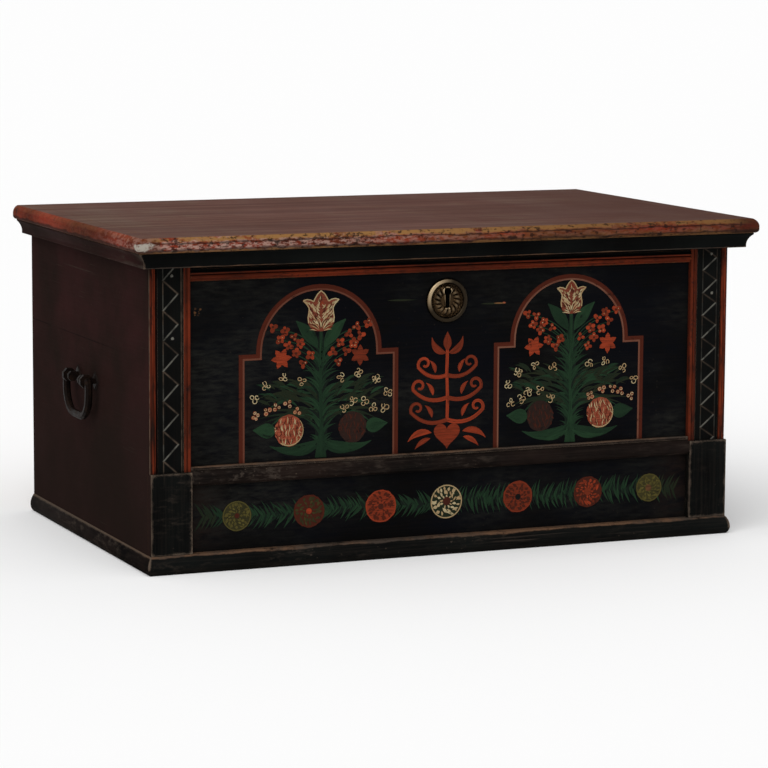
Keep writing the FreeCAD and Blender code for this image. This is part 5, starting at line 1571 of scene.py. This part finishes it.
class TRUNK_OT_escutcheon(bpy.types.Operator):
    """Stamps the round escutcheon: a rolled rim, a corded ring and a wreath round the keyhole."""

    bl_idname = "trunk.escutcheon"
    bl_label = "Escutcheon"

    around = 264
    rings = 64

    # Where rim, corded ring and wreath begin, as shares of the radius
    rim_from = 0.76
    cord_from = 0.66
    wreath_from = 0.3

    # Thickness of the sheet, and sizes of the keyhole's lip, the rim and the corded ring
    sheet = 1.4 * MM
    lip_height = 1.8 * MM
    lip_width = 2.6 * MM
    rim_height = 4.4 * MM
    cord_height = 2.6 * MM

    # Least painted highlight of the rim and of the wreath; where the rim's is low, the rim is painted darker
    # as shade
    rim_least_highlight = 0.035
    wreath_least_highlight = 0.7

    def execute(self, context):
        paint = context.scene.trunk_colours
        size = context.scene.trunk_ornament
        low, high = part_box("escutcheon")
        radius = (high.x - low.x) / 2
        middle = Vector((0, (low.z + high.z) / 2))
        round_end = middle + Vector((0, size.keyhole_rise))
        heart = round_end - Vector((0, 1.07 * size.keyhole_radius))
        rows = []
        for step in range(self.around):
            turn = 2 * math.pi * step / self.around
            way = unit(turn)
            near = self.keyhole_reach(size, heart, round_end, way)
            far = self.circle_reach(heart, middle, radius, way)
            row = []
            for ring in range(self.rings + 1):
                reach = near + (far - near) * ring / self.rings
                place = heart + reach * way
                row.append((place.x, PANEL_Y - self.relief(place - middle, reach - near, radius), place.y))
            rows.append(row)
        brass = metal("aged_brass", paint.brass, paint.brass_dark, 0.2, 0.9, 220, painted_highlight=paint.brass_highlight)
        mesh = self.closed(rows)
        paint_faces(mesh, [(brass, everywhere)])
        piece = add_piece(mesh, 40)
        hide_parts("escutcheon")
        return {"FINISHED"}

    def circle_reach(self, start, middle, radius, way):
        """From a point, how far a ray goes to the far side of a circle."""
        along = way.dot(middle - start)
        return along + math.sqrt(max(0, along ** 2 - (middle - start).length_squared + radius ** 2))

    def keyhole_reach(self, size, heart, round_end, way):
        """From inside the keyhole, how far a ray goes to its edge."""
        half = size.keyhole_slot / 2
        mouth = round_end.y - math.sqrt(size.keyhole_radius ** 2 - half ** 2) - heart.y
        if way.y > 0 and abs(way.x) * mouth <= half * way.y:
            return self.circle_reach(heart, round_end, size.keyhole_radius, way)
        side = half / max(1e-6, abs(way.x))
        foot = heart.y - round_end.y + size.keyhole_drop
        return min(side, foot / -way.y) if way.y < 0 else side

    def relief(self, off, from_keyhole, radius):
        """Height of the stamped sheet at a place, from the board up."""
        reach = off.length / radius
        turn = math.atan2(off.y, off.x)
        lip = self.lip_height * max(0, 1 - (from_keyhole / self.lip_width - 0.4) ** 2)
        if reach > self.rim_from:
            swell = (2 * reach - 1 - self.rim_from) / (1 - self.rim_from)
            return self.sheet + self.rim_height * math.sqrt(max(0, 1 - swell ** 2))
        if reach > self.cord_from:
            swell = (2 * reach - self.cord_from - self.rim_from) / (self.rim_from - self.cord_from)
            cord = 0.7 + 0.3 * math.cos(34 * turn + 9 * swell)
            return self.sheet + self.cord_height * cord * math.sqrt(max(0, 1 - swell ** 2))
        if reach > self.wreath_from:
            share = (reach - self.wreath_from) / (self.cord_from - self.wreath_from)
            leaf = abs(math.cos(7.5 * turn + 1.4 * share)) ** 0.7
            vein = 0.25 * abs(math.cos(15 * turn + 2.8 * share)) ** 6
            return self.sheet + (2.9 * leaf - vein) * MM * math.sin(math.pi * share) ** 0.6 + lip
        return self.sheet + 0.9 * MM + lip

    def closed(self, rows):
        """The stamped face with its rim, keyhole wall and flat back."""
        count, wide = self.around, self.rings + 1
        points = [point for row in rows for point in row]
        back = len(points)
        points += [(row[column][0], PANEL_Y, row[column][2]) for row in rows for column in (0, -1)]
        faces = []
        for step in range(count):
            after = (step + 1) % count
            for ring in range(self.rings):
                here, there = step * wide + ring, after * wide + ring
                faces.append((here, here + 1, there + 1, there))
            inner, next_inner = back + 2 * step, back + 2 * after
            faces.append((inner, next_inner, next_inner + 1, inner + 1))
            faces.append((step * wide, after * wide, next_inner, inner))
            edge, next_edge = step * wide + self.rings, after * wide + self.rings
            faces.append((edge, inner + 1, next_inner + 1, next_edge))
        mesh = bpy.data.meshes.new("stamped_escutcheon")
        mesh.from_pydata(points, [], faces)
        crest = max(PANEL_Y - point[1] for point in points)
        layer = mesh.attributes.new("carve", "FLOAT_VECTOR", "POINT")
        low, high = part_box("escutcheon")
        middle = (low + high) / 2
        for point, mark in zip(points, layer.data):
            off = Vector((point[0] - middle.x, point[2] - middle.z))
            on_rim = off.length > self.rim_from * (high.x - low.x) / 2
            least = self.rim_least_highlight if on_rim else self.wreath_least_highlight
            # The second mark places the painted highlight, strongest on the side towards the key light
            towards_light = max(0, math.cos(math.atan2(off.y, off.x) - HIGHLIGHT_SIDE))
            mark.vector = ((PANEL_Y - point[1]) / crest, max(least, towards_light ** 3), 0)
        return mesh


# Old scars in the front paint, in millimetres: ends, height and width, and their paint
SCARS = ((-114, -58, 458, 3.4, "moss"), (-104, -70, 458.4, 2.2, "pale"), (66, 118, 445, 3.0, "moss"),
         (92, 116, 445.3, 2.6, "tan"), (109, 116, 445.5, 4.0, "blush"), (-300, -282, 505, 1.6, "moss"))
KNOT = (-469, 452)

# How far a scar falls from end to end, in millimetres, and its thickness as a share of a coat's
SCAR_FALL = 0.8
SCAR_FILM = 0.3


class TRUNK_OT_scars(bpy.types.Operator):
    """Adds a few old scars where the front paint is knocked off."""

    bl_idname = "trunk.scars"
    bl_label = "Scars"

    def execute(self, context):
        size = context.scene.trunk_ornament
        paints = ornament_paints(context.scene.trunk_colours)
        for number, (start, end, height, width, tint) in enumerate(SCARS, start=1):
            scar = Coat(SCAR_FILM * size.film, SEEDS["scar"] + number)
            scar.leaf(Vector((start * MM, height * MM)), Vector((end * MM, (height - SCAR_FALL) * MM)),
                      width * MM, 0.8)
            scar.finish("scar_%d" % number, paints[tint])
        knot = Coat(SCAR_FILM * size.film, SEEDS["knot"])
        for number in range(12):
            knot.disc(MM * Vector(KNOT) + knot.stray(6 * MM), knot.between(1, 3) * MM, 0.8, 3, 0.15, steps=9)
        knot.finish("scar_knot", paints["sealing_brown"])
        return {"FINISHED"}


# Floor's half size and roughness, the key light's spread and way, and the camera's sensor and farthest view
FLOOR_HALF = 60
FLOOR_ROUGH = 0.9
KEY_SPREAD = math.radians(70)
KEY_WAY = (0.45, 0.55, -1.0)
SENSOR = 36
FARTHEST = 200


class TRUNK_OT_stage(bpy.types.Operator):
    """Sets up the pale floor, the soft light and the camera."""

    bl_idname = "trunk.stage"
    bl_label = "Stage"

    def execute(self, context):
        stage = context.scene.trunk_stage
        self.add_floor(context)
        self.add_light(context, stage)
        self.add_camera(context, stage)
        context.scene.view_settings.view_transform = "Standard"
        return {"FINISHED"}

    def add_floor(self, context):
        """A wide pale floor that keeps the shadow."""
        mesh = bpy.data.meshes.new("floor")
        shape = bmesh.new()
        bmesh.ops.create_grid(shape, x_segments=8, y_segments=8, size=FLOOR_HALF)
        shape.to_mesh(mesh)
        shape.free()
        floor = bpy.data.objects.new("floor", mesh)
        context.scene.collection.objects.link(floor)
        material, _, shader, _ = new_material("floor_paper", 0.0)
        shader.inputs["Base Color"].default_value = (*context.scene.trunk_colours.floor, 1)
        shader.inputs["Roughness"].default_value = FLOOR_ROUGH
        mesh.materials.append(material)

    def add_light(self, context, stage):
        """White surroundings and one soft key light."""
        world = bpy.data.worlds.new("studio")
        world.use_nodes = True
        context.scene.world = world
        tree = world.node_tree
        background = tree.nodes["Background"]
        rays = put(tree, "LightPath").outputs
        seen = calc(tree, "MAXIMUM", rays["Is Camera Ray"], rays["Is Glossy Ray"])
        seen = calc(tree, "MAXIMUM", seen, rays["Is Transmission Ray"])
        strength = put(tree, "Mix", {0: seen, 2: stage.fill, 3: 1.0}).outputs[0]
        background.inputs["Color"].default_value = (1, 1, 1, 1)
        tree.links.new(strength, background.inputs["Strength"])
        lamp = bpy.data.lights.new("key", "SUN")
        lamp.energy = stage.key
        lamp.angle = KEY_SPREAD
        key = bpy.data.objects.new("key", lamp)
        key.rotation_euler = Vector(KEY_WAY).to_track_quat("-Z", "Y").to_euler()
        context.scene.collection.objects.link(key)

    def add_camera(self, context, stage):
        """The camera, turned, tilted and rolled from its stand."""
        data = bpy.data.cameras.new("camera")
        data.lens = stage.lens
        data.sensor_width = SENSOR
        data.clip_end = FARTHEST
        camera = bpy.data.objects.new("camera", data)
        turn, tilt = stage.heading, stage.tilt
        ahead = Vector((math.sin(turn) * math.cos(tilt), math.cos(turn) * math.cos(tilt), math.sin(tilt)))
        right = Vector((math.cos(turn), -math.sin(turn), 0))
        up = right.cross(ahead)
        spun_right = math.cos(stage.roll) * right + math.sin(stage.roll) * up
        spun_up = math.cos(stage.roll) * up - math.sin(stage.roll) * right
        facing = Matrix((spun_right, spun_up, -ahead)).transposed().to_4x4()
        camera.matrix_world = Matrix.Translation(stage.eye) @ facing
        context.scene.collection.objects.link(camera)
        context.scene.camera = camera


class TRUNK_PT_panel(bpy.types.Panel):
    """Lists the trunk's steps and sizes."""

    bl_idname = "TRUNK_PT_panel"
    bl_label = "Painted Trunk"
    bl_space_type = "VIEW_3D"
    bl_region_type = "UI"
    bl_category = "Trunk"

    def draw(self, context):
        for step in STEPS:
            self.layout.operator(step.bl_idname)
        for group in (context.scene.trunk_colours, context.scene.trunk_ornament, context.scene.trunk_stage):
            box = self.layout.box()
            for name in group.__annotations__:
                box.prop(group, name)


STEPS = (TRUNK_OT_boards, TRUNK_OT_mouldings, TRUNK_OT_ironwork, TRUNK_OT_pilasters, TRUNK_OT_escutcheon,
         TRUNK_OT_arches, TRUNK_OT_bouquets, TRUNK_OT_centre, TRUNK_OT_garland, TRUNK_OT_scars,
         TRUNK_OT_stage)
GROUPS = {"trunk_colours": TrunkColours, "trunk_ornament": TrunkOrnament, "trunk_stage": TrunkStage}
CLASSES = (*GROUPS.values(), *STEPS, TRUNK_PT_panel)


def register():
    for item in CLASSES:
        bpy.utils.register_class(item)
    for name, group in GROUPS.items():
        setattr(bpy.types.Scene, name, PointerProperty(type=group))


def unregister():
    for name in GROUPS:
        delattr(bpy.types.Scene, name)
    for item in reversed(CLASSES):
        bpy.utils.unregister_class(item)


def main():
    register()
    for make in (make_edge_wear, make_wood_grain, make_paint_age, make_dirt_and_shade, make_brush):
        make()
    bpy.ops.trunk.boards()
    bpy.ops.trunk.mouldings()
    bpy.ops.trunk.ironwork()
    bpy.ops.trunk.pilasters()
    bpy.ops.trunk.escutcheon()
    bpy.ops.trunk.arches()
    bpy.ops.trunk.bouquets()
    bpy.ops.trunk.centre()
    bpy.ops.trunk.garland()
    bpy.ops.trunk.scars()
    bpy.ops.trunk.stage()


if __name__ == "__main__":
    main()
